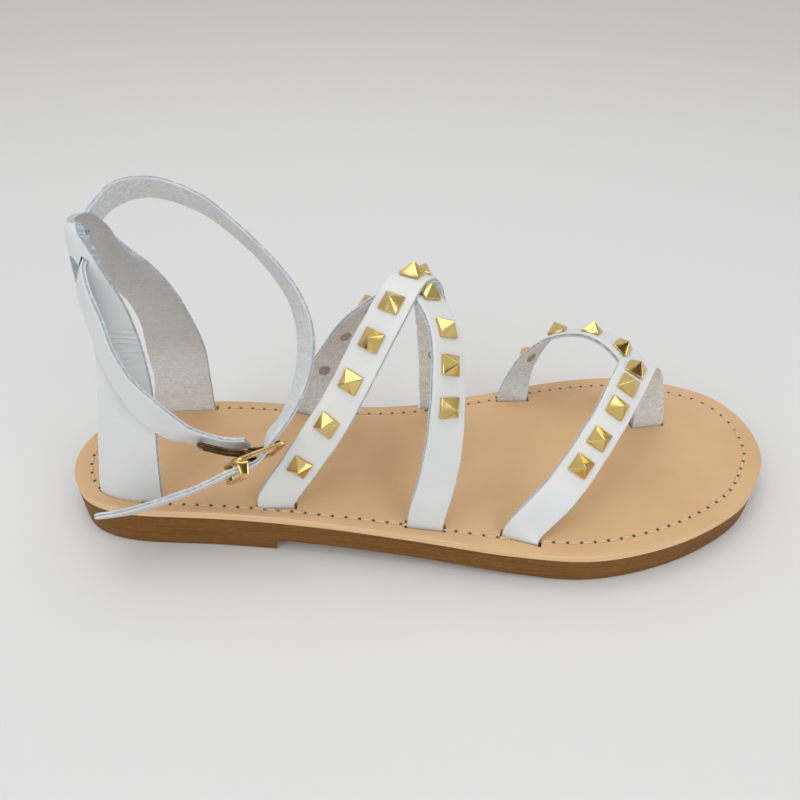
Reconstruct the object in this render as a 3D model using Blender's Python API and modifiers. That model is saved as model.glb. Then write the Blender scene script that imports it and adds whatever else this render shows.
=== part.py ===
"""Studded toe post sandal for the right foot, standing empty on its sole.

Tables are in millimetres, measured from the back of the heel: x runs to the toe, y to the inner
side of the foot and z up from the floor. The part's origin lies on the floor under the heel seat.
"""
import math

import bmesh
import bpy
import numpy as np
from mathutils import Matrix, Vector

# Driving dimensions, in millimetres
MM = 0.001
HEEL_SEAT_X = 30.0
GAP = 0.3
SOLE_LENGTH = 254.5
HEEL_JOINT_HEIGHT = 13.5
BALL_JOINT_HEIGHT = 9.5
SLOPE_START_X = 60.0
SLOPE_END_X = 180.0
INSOLE_THICKNESS = 3.5
STRAP_WIDTH = 12.0
STRAP_THICKNESS = 1.8
ANKLE_THICKNESS = 1.6
COUNTER_THICKNESS = 2.0
SLOT_RISE = 2.0
STATION_LENGTH = 4.0
STATION_TURN = math.radians(11.0)

# Sole outline: station along the foot, inner edge, outer edge
OUTLINE_COLUMNS = ("x", "inner_y", "outer_y")
OUTLINE = (
    (2.5, 10.0, -9.0),
    (8.0, 21.0, -18.5),
    (25.0, 30.5, -26.0),
    (55.0, 30.0, -29.5),
    (90.0, 26.0, -35.0),
    (120.0, 26.5, -41.0),
    (150.0, 33.5, -47.5),
    (175.0, 40.0, -50.5),
    (195.0, 43.0, -48.0),
    (215.0, 43.0, -41.5),
    (235.0, 36.5, -30.0),
    (246.0, 29.5, -17.5),
    (252.0, 20.0, -7.5),
)
HEEL_TIP_Y = 1.0
TOE_TIP_Y = 7.5

# Tread of the outsole: station along the foot, height over the floor
TREAD = (
    (-6.0, 0.0),
    (72.0, 0.0),
    (72.0, 4.5),
    (95.0, 4.0),
    (115.0, 3.5),
    (134.0, 2.5),
    (147.0, 1.5),
    (160.0, 0.5),
    (168.0, 0.0),
    (228.0, 0.0),
    (262.0, 0.5),
)

# Heel counter: height, back of the wall, inner and outer front edges, half width, middle
COUNTER_COLUMNS = ("z", "back_x", "inner_front_x", "outer_front_x", "half_width", "middle_y")
COUNTER = (
    (14.0, 8.0, 45.5, 36.5, 25.0, 2.0),
    (20.0, 8.0, 45.5, 37.0, 25.0, 2.0),
    (33.0, 10.0, 46.0, 38.5, 24.5, 2.0),
    (47.0, 13.0, 46.5, 39.5, 22.5, 1.5),
    (61.0, 15.5, 45.5, 40.0, 19.0, 1.0),
    (75.0, 18.5, 41.5, 39.0, 15.0, 1.5),
    (85.0, 20.0, 37.0, 36.0, 12.0, 2.0),
    (94.0, 21.0, 32.0, 31.5, 9.5, 2.0),
    (101.0, 21.5, 28.5, 28.0, 7.0, 1.5),
    (106.0, 22.0, 26.0, 25.5, 4.5, 0.5),
    (108.5, 23.0, 24.5, 24.5, 2.5, 0.0),
)
COUNTER_SIDES = 26

# Slots in the insole: middle x, middle y, direction of the slot in degrees
SLOT_COLUMNS = ("x", "y", "turn")
SLOTS = {
    "rear_outer": (73.5, -27.0, -2.0),
    "front_outer": (122.5, -37.0, -9.0),
    "front_inner": (132.0, 25.0, -11.0),
    "rear_inner": (81.5, 22.0, -18.0),
    "toe_outer": (153.5, -42.5, -21.0),
    "toe_inner": (164.5, 30.5, 0.0),
    "post": (214.5, 13.0, 5.0),
}
POST_HALF_PITCH = 0.7
SLOT_CLEARANCE = 0.8

# Straps between their slots: middle of the strap and the way its smooth side faces
STRAP_COLUMNS = ("x", "y", "z", "face_x", "face_y", "face_z")
REAR_STRAP = (
    (83.0, -25.0, 34.0, -0.15, -0.95, 0.20),
    (95.5, -21.5, 53.5, -0.45, -0.70, 0.50),
    (108.0, -11.5, 74.0, -0.35, -0.55, 0.75),
    (119.0, 5.0, 83.5, 0.05, 0.00, 1.00),
    (125.5, 18.5, 74.5, 0.35, 0.65, 0.70),
    (130.5, 27.5, 46.5, 0.30, 0.95, 0.10),
)
FRONT_STRAP = (
    (127.0, -34.0, 41.0, 0.15, -0.95, 0.20),
    (129.0, -24.0, 63.5, 0.50, -0.70, 0.50),
    (128.0, -10.0, 76.5, 0.60, -0.15, 0.80),
    (121.0, 5.5, 80.5, 0.25, 0.35, 0.90),
    (105.0, 19.5, 63.0, -0.35, 0.75, 0.55),
    (91.5, 24.5, 40.0, -0.30, 0.95, 0.20),
)
OUTER_TOE_STRAP = (
    (167.5, -34.0, 26.5, -0.05, -0.85, 0.55),
    (183.0, -20.5, 42.5, 0.15, -0.75, 0.65),
    (193.5, -7.0, 50.5, 0.10, -0.40, 0.90),
    (200.5, 3.0, 50.0, 0.10, 0.35, 0.95),
    (206.0, 10.0, 43.0, 0.25, 0.80, 0.55),
    (210.5, 12.5, 31.0, -0.05, 1.00, 0.05),
)
INNER_TOE_STRAP = (
    (170.0, 36.5, 28.0, -0.55, 0.85, 0.15),
    (179.0, 36.0, 40.0, -0.40, 0.55, 0.70),
    (190.0, 30.5, 44.5, 0.10, 0.35, 0.95),
    (198.0, 24.5, 44.0, 0.30, -0.05, 0.95),
    (205.5, 18.0, 38.0, 0.30, -0.45, 0.85),
    (210.5, 14.0, 28.0, 0.05, -1.00, -0.05),
)

# Buckle: middle of its bar, forward and outward directions, and bars by forward and outward distance
BUCKLE_MIDDLE = np.array((66.0, -25.0, 39.5))
BUCKLE_FORWARD = np.array((1.0, 0.0, 0.0))
BUCKLE_OUTWARD = np.array((0.0, -0.67, -0.742))
BUCKLE_HALF_WIDTH = 7.4
BUCKLE_CORNER = 2.4
FRONT_BAR = (11.0, -2.0)
REAR_BAR = (-13.5, -3.0)
FRAME_RADIUS = 0.9
KEEPER_LENGTH = 3.0
KEEPER_THICKNESS = 0.9
KEEPER_OUTWARD = 8.5
KEEPER_START = (-3.5, -0.8)
KEEPER_LEAN = 0.3
PRONG_RADIUS = 0.7
PRONG_CLEARANCE = 1.1
PRONG_PATH = (
    (-1.2, -1.5),
    (-1.9, 0.0),
    (-1.3, 1.4),
    (0.0, 1.9),
    (1.8, 1.75),
    (6.0, 0.85),
    (10.5, -0.2),
    (12.0, -0.55),
)

# Ankle strap: fold round the bar by forward and outward distance, then free rows as for the straps
FOLD_BACK = (-0.826, -0.563)
FOLD_RADIUS = 2.0
FOLD_TAIL = 5.0
FOLD_RUN = 12.0
FOLD_STEPS = 7
ANKLE_TO_LOOP = (
    (46.5, -23.5, 49.5, -0.10, -0.90, -0.40),
    (39.0, -25.0, 58.0, -0.35, -0.95, -0.10),
    (33.5, -22.5, 66.0, -0.60, -0.80, -0.05),
    (30.0, -19.5, 74.0, -0.70, -0.70, 0.00),
    (27.0, -15.0, 82.5, -0.75, -0.65, 0.05),
    (24.0, -10.5, 89.5, -0.80, -0.60, 0.10),
    (22.5, -5.5, 93.0, -0.80, -0.60, 0.15),
    (25.0, -1.0, 94.0, -0.90, -0.30, 0.15),
    (24.5, 2.0, 94.5, -1.00, 0.00, 0.15),
    (25.0, 5.0, 94.5, -0.90, 0.30, 0.15),
    (22.5, 9.5, 95.0, -0.80, 0.60, 0.15),
    (23.5, 15.5, 96.5, -0.95, 0.25, 0.15),
    (24.5, 22.0, 99.5, -0.90, 0.35, 0.20),
    (27.5, 31.0, 101.5, -0.65, 0.60, 0.40),
    (36.0, 38.0, 101.5, -0.10, 0.85, 0.50),
    (50.5, 38.0, 96.0, 0.50, 0.75, 0.40),
    (63.0, 32.5, 88.0, 0.70, 0.60, 0.40),
    (74.0, 24.5, 79.5, 0.75, 0.55, 0.30),
    (81.5, 17.0, 71.0, 0.85, 0.55, 0.10),
    (85.0, 7.0, 62.5, 0.90, 0.35, -0.30),
    (84.0, -4.5, 54.0, 0.85, 0.10, -0.55),
    (79.5, -15.5, 47.5, 0.70, -0.20, -0.65),
)
ANKLE_THROUGH_BUCKLE = (
    (8.2, -4.0),
    (4.4, 0.9),
    (1.2, 4.3),
    (-4.0, 6.6),
)
FREE_END = (
    (49.5, -29.0, 28.0, 0.00, -0.65, -0.75),
    (38.5, -31.5, 25.5, 0.00, -0.65, -0.75),
    (28.0, -32.5, 22.5, 0.00, -0.65, -0.75),
    (17.0, -32.5, 20.5, 0.00, -0.65, -0.75),
)
SLIT_ROWS = (5, 11)
SLIT_CLEARANCE = 1.0

# Studs: distance along each strap from its outer or first slot, and whether a rivet back shows
STUD_SIDE = 6.5
STUD_RIM = 0.7
STUD_HEIGHT = 4.0
STUD_GAP = 0.5
SHANK_RADIUS = 1.0
RIVET_RADIUS = 2.2
RIVET_DEPTH = 0.6
RIVET_GAP = 0.7
STUDS = {
    "rear": ((22, True), (40, True), (56, True), (70, True), (83, True), (97, False), (108, False),
             (122, True), (137, True), (151, True)),
    "front": ((47.5, True), (60, True), (71.5, True), (82.5, True), (115, True), (132.5, True), (150.5, True)),
    "toe_outer": ((34.5, True), (45, True), (57, True), (66.5, True), (74.5, True)),
    "toe_inner": ((22.5, True), (37.5, True), (50.5, True), (63, True)),
}

# Finishes: colour, roughness, metallic
FINISHES = {
    "outsole_rubber": ((0.165, 0.068, 0.022), 0.65, 0.0),
    "insole_leather": ((0.610, 0.375, 0.210), 0.55, 0.0),
    "white_leather": ((0.830, 0.850, 0.850), 0.45, 0.0),
    "gold_metal": ((0.680, 0.430, 0.110), 0.22, 1.0),
}


def clear_scene():
    """Remove whatever the scene holds."""
    for item in list(bpy.data.objects):
        bpy.data.objects.remove(item, do_unlink=True)


def new_collection(name):
    """A collection linked to the scene."""
    collection = bpy.data.collections.new(name)
    bpy.context.scene.collection.children.link(collection)
    return collection


def finish(name):
    """A plain material of the named finish."""
    colour, roughness, metallic = FINISHES[name]
    material = bpy.data.materials.new(name)
    material.use_nodes = True
    shader = material.node_tree.nodes["Principled BSDF"]
    shader.inputs["Base Color"].default_value = (*colour, 1.0)
    shader.inputs["Roughness"].default_value = roughness
    shader.inputs["Metallic"].default_value = metallic
    return material


def to_metres(points):
    """Table millimetres into the part's metres."""
    return (np.asarray(points, float) - (HEEL_SEAT_X, 0.0, 0.0)) * MM


def add_part(name, mesh, material):
    """Put a mesh into the part's collection under its own name and finish."""
    part = bpy.data.objects.new(name, mesh)
    mesh.materials.clear()
    mesh.materials.append(material)
    PARTS.objects.link(part)
    return part


def add_cutter(name, mesh):
    """Put a mesh among the cutters, out of the render."""
    cutter = bpy.data.objects.new(name, mesh)
    cutter.hide_render = True
    cutter.display_type = "WIRE"
    CUTTERS.objects.link(cutter)
    return cutter


def boolean(part, other, operation):
    """Join, cut or keep the common part of two closed meshes."""
    modifier = part.modifiers.new(f"{operation.lower()}_{other.name}", "BOOLEAN")
    modifier.operation = operation
    modifier.solver = "EXACT"
    modifier.object = other


def solidify(part, thickness, offset):
    """Give an open sheet its wall."""
    modifier = part.modifiers.new("wall", "SOLIDIFY")
    modifier.thickness = thickness * MM
    modifier.offset = offset
    modifier.use_even_offset = True


def grid_sheet(name, points):
    """An open sheet of quads over a grid of table points, rows by columns."""
    rows, columns = points.shape[:2]
    index = np.arange(rows * columns).reshape(rows, columns)
    quads = np.stack((index[:-1, :-1], index[1:, :-1], index[1:, 1:], index[:-1, 1:]), axis=-1)
    mesh = bpy.data.meshes.new(name)
    mesh.from_pydata(to_metres(points.reshape(-1, 3)).tolist(), [], quads.reshape(-1, 4).tolist())
    mesh.validate()
    return mesh


def curve_mesh(name, curve_data, matrix):
    """The closed mesh of a curve object, with its caps welded and its place applied."""
    curve = bpy.data.objects.new(name, curve_data)
    CUTTERS.objects.link(curve)
    curve.matrix_world = matrix
    bpy.context.view_layer.update()
    graph = bpy.context.evaluated_depsgraph_get()
    mesh = bpy.data.meshes.new_from_object(curve.evaluated_get(graph))
    mesh.transform(matrix)
    work = bmesh.new()
    work.from_mesh(mesh)
    bmesh.ops.remove_doubles(work, verts=work.verts, dist=1e-6)
    bmesh.ops.recalc_face_normals(work, faces=work.faces)
    work.to_mesh(mesh)
    work.free()
    bpy.data.objects.remove(curve, do_unlink=True)
    bpy.data.curves.remove(curve_data)
    mesh.name = name
    return mesh


def flat_outline(name, points, half_depth, matrix):
    """A flat outline, filled and drawn out both ways."""
    data = bpy.data.curves.new(name, "CURVE")
    data.dimensions = "2D"
    data.fill_mode = "BOTH"
    data.extrude = half_depth * MM
    spline = data.splines.new("POLY")
    spline.points.add(len(points) - 1)
    for point, (a, b) in zip(spline.points, points):
        point.co = (a * MM, b * MM, 0.0, 1.0)
    spline.use_cyclic_u = True
    return curve_mesh(name, data, matrix)


def round_rod(name, points, radius, cyclic):
    """A round rod along table points."""
    data = bpy.data.curves.new(name, "CURVE")
    data.dimensions = "3D"
    data.bevel_depth = radius * MM
    data.bevel_resolution = 2
    data.use_fill_caps = not cyclic
    spline = data.splines.new("POLY")
    spline.points.add(len(points) - 1)
    for point, place in zip(spline.points, to_metres(points)):
        point.co = (*place, 1.0)
    spline.use_cyclic_u = cyclic
    return curve_mesh(name, data, Matrix.Identity(4))


def smooth_path(rows, samples=24):
    """Centripetal Catmull-Rom curve through the rows, all columns alike."""
    rows = np.asarray(rows, float)
    rows = np.vstack((2 * rows[0] - rows[1], rows, 2 * rows[-1] - rows[-2]))
    pieces = []
    for a, b, c, d in zip(rows[:-3], rows[1:-2], rows[2:-1], rows[3:]):
        knots = np.cumsum([0.0] + [np.linalg.norm((q - p)[:3]) ** 0.5 for p, q in ((a, b), (b, c), (c, d))])
        k0, k1, k2, k3 = knots
        k = np.linspace(k1, k2, samples, endpoint=False)[:, None]
        ab = (k1 - k) / (k1 - k0) * a + (k - k0) / (k1 - k0) * b
        bc = (k2 - k) / (k2 - k1) * b + (k - k1) / (k2 - k1) * c
        cd = (k3 - k) / (k3 - k2) * c + (k - k2) / (k3 - k2) * d
        abc = (k2 - k) / (k2 - k0) * ab + (k - k0) / (k2 - k0) * bc
        bcd = (k3 - k) / (k3 - k1) * bc + (k - k1) / (k3 - k1) * cd
        pieces.append((k2 - k) / (k2 - k1) * abc + (k - k1) / (k2 - k1) * bcd)
    return np.vstack((*pieces, rows[-2]))


def unit(vectors):
    """Vectors of length one."""
    return vectors / np.linalg.norm(vectors, axis=-1, keepdims=True)


class Band:
    """A strap along its rows: middle line, direction, smooth side and width direction."""

    def __init__(self, rows):
        dense = smooth_path(rows)
        self.middle = dense[:, :3]
        steps = np.linalg.norm(np.diff(self.middle, axis=0), axis=1)
        self.length = np.concatenate(([0.0], np.cumsum(steps)))
        self.along = unit(np.gradient(self.middle, self.length, axis=0))
        face = dense[:, 3:]
        face = face - np.sum(face * self.along, axis=1, keepdims=True) * self.along
        self.face = unit(face)
        self.across = np.cross(self.along, self.face)

    def at(self, distances):
        """Middle, direction, smooth side and width direction at distances along the band."""
        columns = np.hstack((self.middle, self.along, self.face, self.across))
        found = np.stack([np.interp(distances, self.length, column) for column in columns.T], axis=-1)
        return found[..., :3], unit(found[..., 3:6]), unit(found[..., 6:9]), unit(found[..., 9:])

    def stations(self):
        """Distances that lie closer together where the band turns."""
        turn = np.linalg.norm(np.diff(self.along, axis=0), axis=1) / STATION_TURN
        run = np.diff(self.length) / STATION_LENGTH
        measure = np.concatenate(([0.0], np.cumsum(np.maximum(turn, run))))
        count = int(math.ceil(measure[-1]))
        return np.interp(np.linspace(0.0, measure[-1], count + 1), measure, self.length)

    def sheet(self, name, width, start=0.0, end=None, rounded=0.0):
        """The band's middle surface as an open sheet, its last end rounded if asked."""
        end = self.length[-1] if end is None else end
        distances = self.stations()
        distances = distances[(distances >= start - 1e-6) & (distances <= end + 1e-6)]
        half = np.full(len(distances), width / 2.0)
        if rounded:
            tip = end - rounded * (1.0 - np.sin(np.linspace(0.0, math.radians(80.0), 6)))
            distances = np.concatenate((distances[distances < end - rounded - 1.0], tip))
            reach = np.clip((distances - (end - rounded)) / rounded, 0.0, 1.0)
            half = width / 2.0 * np.sqrt(1.0 - reach ** 2)
        middle, _, _, across = self.at(distances)
        offset = across * half[:, None]
        return grid_sheet(name, np.stack((middle + offset, middle - offset), axis=1))


def joint_height(x):
    """Height of the joint between outsole and insole, easing down from heel to ball."""
    share = np.clip((np.asarray(x, float) - SLOPE_START_X) / (SLOPE_END_X - SLOPE_START_X), 0.0, 1.0)
    eased = share * share * (3.0 - 2.0 * share)
    return HEEL_JOINT_HEIGHT + (BALL_JOINT_HEIGHT - HEEL_JOINT_HEIGHT) * eased


def sole_outline():
    """The closed plan outline, smooth through its table."""
    inner = [(x, y, 0.0) for x, y, _ in OUTLINE]
    outer = [(x, y, 0.0) for x, _, y in OUTLINE]
    heel = (0.0, HEEL_TIP_Y, 0.0)
    toe = (SOLE_LENGTH, TOE_TIP_Y, 0.0)
    loop = [heel, *outer, toe, *reversed(inner)]
    wrapped = smooth_path([*loop[-2:], *loop, *loop[:3]], samples=4)
    start = 2 * 4
    return wrapped[start:start + 4 * len(loop), :2]


def sole_layer(name, low_line, high_line):
    """The plan outline drawn up, kept between a lower and an upper side line."""
    plan = [(x - HEEL_SEAT_X, y) for x, y in sole_outline()]
    layer = flat_outline(name, plan, 30.0, Matrix.Identity(4))
    side = [(x - HEEL_SEAT_X, z) for x, z in (*low_line, *reversed(high_line))]
    upright = Matrix.Rotation(math.pi / 2, 4, "X")
    keeper = add_cutter(f"{name}_side_form", flat_outline(f"{name}_side_form", side, 80.0, upright))
    return layer, keeper


def make_outsole():
    """Outsole with its heel step, lifted waist and sloping top."""
    stations = np.concatenate(([-6.0], np.linspace(SLOPE_START_X, SLOPE_END_X, 13), [262.0]))
    top = list(zip(stations, joint_height(stations)))
    mesh, keeper = sole_layer("outsole", TREAD, top)
    outsole = add_part("outsole", mesh, RUBBER)
    boolean(outsole, keeper, "INTERSECT")


def make_insole(counter_cutter):
    """Insole with the slots that take the straps and the heel counter."""
    stations = np.concatenate(([-6.0], np.linspace(SLOPE_START_X, SLOPE_END_X, 13), [262.0]))
    low = list(zip(stations, joint_height(stations) + GAP))
    high = list(zip(stations, joint_height(stations) + INSOLE_THICKNESS))
    mesh, keeper = sole_layer("insole", low, high)
    insole = add_part("insole", mesh, TAN)
    boolean(insole, keeper, "INTERSECT")
    for key, (x, y, turn) in SLOTS.items():
        depth = STRAP_THICKNESS + 2 * SLOT_CLEARANCE
        if key == "post":
            depth += 2 * POST_HALF_PITCH
        boolean(insole, slot_cutter(f"slot_{key}", x, y, turn, depth), "DIFFERENCE")
    boolean(insole, counter_cutter, "DIFFERENCE")


def slot_cutter(name, x, y, turn, depth):
    """A box through the insole, long along the slot."""
    work = bmesh.new()
    bmesh.ops.create_cube(work, size=1.0)
    size = Matrix.Diagonal(((STRAP_WIDTH + 2 * SLOT_CLEARANCE) * MM, depth * MM, 40.0 * MM, 1.0))
    place = to_metres((x, y, 10.0))
    turned = Matrix.Rotation(math.radians(turn), 4, "Z")
    work.transform(Matrix.Translation(Vector(place)) @ turned @ size)
    mesh = bpy.data.meshes.new(name)
    work.to_mesh(mesh)
    work.free()
    return add_cutter(name, mesh)


def counter_section(row):
    """U of one height: straight sides to the front edges and a round back."""
    _, back, inner_front, outer_front, half, middle = row
    depth = min(half, 0.5 * (inner_front + outer_front) - back)
    bend = np.linspace(-math.pi / 2, math.pi / 2, 41)
    round_x = back + depth * (1.0 - np.cos(bend))
    round_y = middle + half * np.sin(bend)
    x = np.concatenate(([outer_front], round_x, [inner_front]))
    y = np.concatenate(([middle - half], round_y, [middle + half]))
    reach = np.concatenate(([0.0], np.cumsum(np.hypot(np.diff(x), np.diff(y)))))
    even = np.linspace(0.0, reach[-1], COUNTER_SIDES + 1)
    return np.interp(even, reach, x), np.interp(even, reach, y)


def counter_points(rows):
    """Grid of the counter's outside, bottom row first."""
    grid = []
    for row in rows:
        x, y = counter_section(row)
        grid.append(np.stack((x, y, np.full(len(x), row[0])), axis=-1))
    return np.array(grid)


def make_counter(strap_cutter):
    """Heel counter: one bent wall, cut for the ankle strap on both sides of its back."""
    rows = smooth_path(COUNTER, samples=2)
    counter = add_part("heel_counter", grid_sheet("heel_counter", counter_points(rows)), WHITE)
    solidify(counter, COUNTER_THICKNESS, -1.0)
    boolean(counter, strap_cutter, "DIFFERENCE")


def counter_slot_cutter():
    """Curved slot that takes the foot of the counter, a gap wider on every side."""
    base = COUNTER[0]
    low = (base[0] - 12.0, base[1] - GAP, base[2] + GAP, base[3] + GAP, base[4] + GAP, base[5])
    high = (base[0] + 12.0, *low[1:])
    cutter = add_cutter("counter_slot", grid_sheet("counter_slot", counter_points((low, high))))
    solidify(cutter, COUNTER_THICKNESS + 2 * GAP, -1.0)
    return cutter


def slot_rows(key, side, shift=0.0):
    """Two upright rows in a slot, from its floor to just over the insole."""
    x, y, turn = SLOTS[key]
    angle = math.radians(turn)
    face = (math.sin(angle) * -side, math.cos(angle) * side, 0.0)
    x += face[0] * shift
    y += face[1] * shift
    joint = float(joint_height(x))
    return ((x, y, joint + 2 * GAP, *face), (x, y, joint + INSOLE_THICKNESS + SLOT_RISE, *face))


def strap_band(first, rows, last, first_side, last_side, last_shift=0.0):
    """A band from one slot over its rows and down into another."""
    start = slot_rows(first, first_side)
    end = slot_rows(last, last_side, last_shift)
    return Band((*start, *rows, *reversed(end)))


def buckle_point(forward, outward, across=0.0):
    """Table point at distances from the middle of the buckle's bar."""
    sideways = np.cross(BUCKLE_FORWARD, BUCKLE_OUTWARD)
    return BUCKLE_MIDDLE + forward * BUCKLE_FORWARD + outward * BUCKLE_OUTWARD + across * sideways


def buckle_row(place, face):
    """Strap row at a place in the buckle's own plane, facing a direction in that plane."""
    direction = face[0] * BUCKLE_FORWARD + face[1] * BUCKLE_OUTWARD
    return (*buckle_point(*place), *direction)


def ankle_rows():
    """Rows of the ankle strap: tail, fold round the bar, counter, loop, buckle and free end."""
    back = np.array(FOLD_BACK)
    side = np.array((back[1], -back[0]))
    rows = [buckle_row(back * FOLD_TAIL - side * FOLD_RADIUS, -side)]
    rows.append(buckle_row(back * 0.4 * FOLD_TAIL - side * FOLD_RADIUS, -side))
    for angle in np.linspace(-math.pi / 2, math.pi / 2, FOLD_STEPS):
        radial = side * math.sin(angle) - back * math.cos(angle)
        rows.append(buckle_row(radial * FOLD_RADIUS, radial))
    rows.append(buckle_row(back * 0.4 * FOLD_RUN + side * FOLD_RADIUS, side))
    rows.append(buckle_row(back * FOLD_RUN + side * FOLD_RADIUS, side))
    folded = len(rows)
    rows.extend(ANKLE_TO_LOOP)
    for place in ANKLE_THROUGH_BUCKLE:
        reach = math.hypot(*place)
        facing = (0.45 * place[0] / reach, place[1] / reach if place[1] > 0 else -0.2)
        rows.append(buckle_row(place, (facing[0], max(facing[1], 0.3))))
    rows.extend(FREE_END)
    return rows, folded


def make_ankle_strap():
    """Ankle strap, and the wider band that cuts its slits in the counter."""
    rows, folded = ankle_rows()
    band = Band(rows)
    sheet = band.sheet("ankle_strap", STRAP_WIDTH, rounded=STRAP_WIDTH / 2)
    strap = add_part("ankle_strap", sheet, WHITE)
    solidify(strap, ANKLE_THICKNESS, 0.0)
    wide = add_cutter("prong_way", round_rod("prong_way", prong_points(), PRONG_CLEARANCE, False))
    boolean(strap, wide, "DIFFERENCE")
    near, far = (folded + row for row in SLIT_ROWS)
    start = np.linalg.norm(band.middle - np.array(rows[near][:3]), axis=1).argmin()
    end = np.linalg.norm(band.middle - np.array(rows[far][:3]), axis=1).argmin()
    sheet = band.sheet("strap_way", STRAP_WIDTH + SLIT_CLEARANCE, band.length[start], band.length[end])
    cutter = add_cutter("strap_way", sheet)
    solidify(cutter, ANKLE_THICKNESS + SLIT_CLEARANCE, 0.0)
    return cutter


def prong_points():
    """Table points of the prong's middle line."""
    return smooth_path([tuple(buckle_point(*place)) for place in PRONG_PATH], samples=3)


def frame_points():
    """Closed middle line of the buckle's frame, bent at its bar, with round corners."""
    def outward(forward):
        bar = FRONT_BAR if forward > 0 else REAR_BAR
        return bar[1] * forward / bar[0]

    points = []
    corners = ((FRONT_BAR[0], 1, 0.0), (REAR_BAR[0], 1, 90.0), (REAR_BAR[0], -1, 180.0), (FRONT_BAR[0], -1, 270.0))
    for forward, side, start in corners:
        middle_u = forward - math.copysign(BUCKLE_CORNER, forward)
        middle_w = side * (BUCKLE_HALF_WIDTH - BUCKLE_CORNER)
        for angle in np.radians(start + np.linspace(0.0, 90.0, 5)):
            u = middle_u + BUCKLE_CORNER * math.cos(angle)
            w = middle_w + BUCKLE_CORNER * math.sin(angle)
            points.append(buckle_point(u, outward(u), w))
        if start in (0.0, 180.0):
            points.append(buckle_point(0.0, 0.0, side * BUCKLE_HALF_WIDTH))
    return np.array(points)


def keeper_rows():
    """Rows of the flat keeper: down one side bar, across outside the free strap, up the other."""
    sideways = np.cross(BUCKLE_FORWARD, BUCKLE_OUTWARD)
    side = BUCKLE_HALF_WIDTH
    start = KEEPER_START[1]
    places = ((start, -side, -1, 0), (KEEPER_OUTWARD - 2.0, -side, -1, 0), (KEEPER_OUTWARD, 2.0 - side, 0, 1),
              (KEEPER_OUTWARD, side - 2.0, 0, 1), (KEEPER_OUTWARD - 2.0, side, 1, 0), (start, side, 1, 0))
    rows = []
    for outward, across, face_across, face_out in places:
        face = face_across * sideways + face_out * BUCKLE_OUTWARD
        forward = KEEPER_START[0] + KEEPER_LEAN * (outward - start)
        rows.append((*buckle_point(forward, outward, across), *face))
    return rows


def make_buckle():
    """Gold frame with its bar, and the prong that hooks round the bar."""
    frame = add_part("buckle_frame", round_rod("buckle_frame", frame_points(), FRAME_RADIUS, True), GOLD)
    ends = [buckle_point(0.0, 0.0, side * (BUCKLE_HALF_WIDTH - 0.2)) for side in (-1, 1)]
    bar = add_cutter("buckle_bar", round_rod("buckle_bar", ends, FRAME_RADIUS, False))
    boolean(frame, bar, "UNION")
    keeper = add_cutter("buckle_keeper", Band(keeper_rows()).sheet("buckle_keeper", KEEPER_LENGTH))
    solidify(keeper, KEEPER_THICKNESS, 0.0)
    boolean(frame, keeper, "UNION")
    add_part("buckle_prong", round_rod("buckle_prong", prong_points(), PRONG_RADIUS, False), GOLD)


def ring(kind, size, height):
    """Eight points: the corners and edge middles of a square, or an octagon."""
    angles = np.radians(np.arange(8) * 45.0)
    reach = np.full(8, size)
    if kind == "square":
        reach = size / np.maximum(np.abs(np.cos(angles)), np.abs(np.sin(angles)))
    return np.stack((reach * np.cos(angles), reach * np.sin(angles), np.full(8, height)), axis=-1)


def stud_mesh(name, backed):
    """Pyramid stud on a low rim, with its shank and rivet back where the flesh side shows it."""
    half = STUD_SIDE / 2
    rings = [ring("square", half, STUD_GAP + STUD_RIM), ring("square", half, STUD_GAP)]
    if backed:
        back = -STRAP_THICKNESS - RIVET_GAP
        rings.append(ring("round", SHANK_RADIUS, STUD_GAP))
        rings.append(ring("round", SHANK_RADIUS, back))
        rings.append(ring("round", RIVET_RADIUS, back))
        rings.append(ring("round", RIVET_RADIUS * 0.8, back - RIVET_DEPTH))
    work = bmesh.new()
    apex = work.verts.new((0.0, 0.0, (STUD_GAP + STUD_HEIGHT) * MM))
    loops = [[work.verts.new(point * MM) for point in points] for points in rings]
    for side in range(8):
        after = (side + 1) % 8
        work.faces.new((apex, loops[0][side], loops[0][after]))
        for upper, lower in zip(loops[:-1], loops[1:]):
            work.faces.new((upper[side], lower[side], lower[after], upper[after]))
    work.faces.new(loops[-1][::-1])
    bmesh.ops.recalc_face_normals(work, faces=work.faces)
    mesh = bpy.data.meshes.new(name)
    work.to_mesh(mesh)
    work.free()
    mesh.materials.append(GOLD)
    return mesh


def stud_matrix(band, distance):
    """Place and turn of a stud on the smooth side of a band."""
    middle, along, face, _ = band.at(np.array(float(distance)))
    matrix = np.eye(4)
    matrix[:3, 0] = along
    matrix[:3, 1] = np.cross(face, along)
    matrix[:3, 2] = face
    matrix[:3, 3] = to_metres(middle + face * STRAP_THICKNESS / 2)
    return Matrix(matrix.tolist())


def add_studs(key, band, backed_mesh, plain_mesh):
    """Set a band's studs, and return a cutter for the holes of their shanks."""
    work = bmesh.new()
    for number, (distance, backed) in enumerate(STUDS[key], start=1):
        stud = bpy.data.objects.new(f"stud_{key}_{number:02d}", backed_mesh if backed else plain_mesh)
        stud.matrix_world = stud_matrix(band, distance)
        PARTS.objects.link(stud)
        if backed:
            down = Matrix.Translation((0.0, 0.0, -STRAP_THICKNESS / 2 * MM))
            radius = (SHANK_RADIUS + GAP + 0.1) * MM
            bmesh.ops.create_cone(work, cap_ends=True, segments=10, radius1=radius, radius2=radius,
                                  depth=(STRAP_THICKNESS + 2.0) * MM, matrix=stud.matrix_world @ down)
    mesh = bpy.data.meshes.new(f"holes_{key}")
    work.to_mesh(mesh)
    work.free()
    return add_cutter(f"holes_{key}", mesh)


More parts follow.
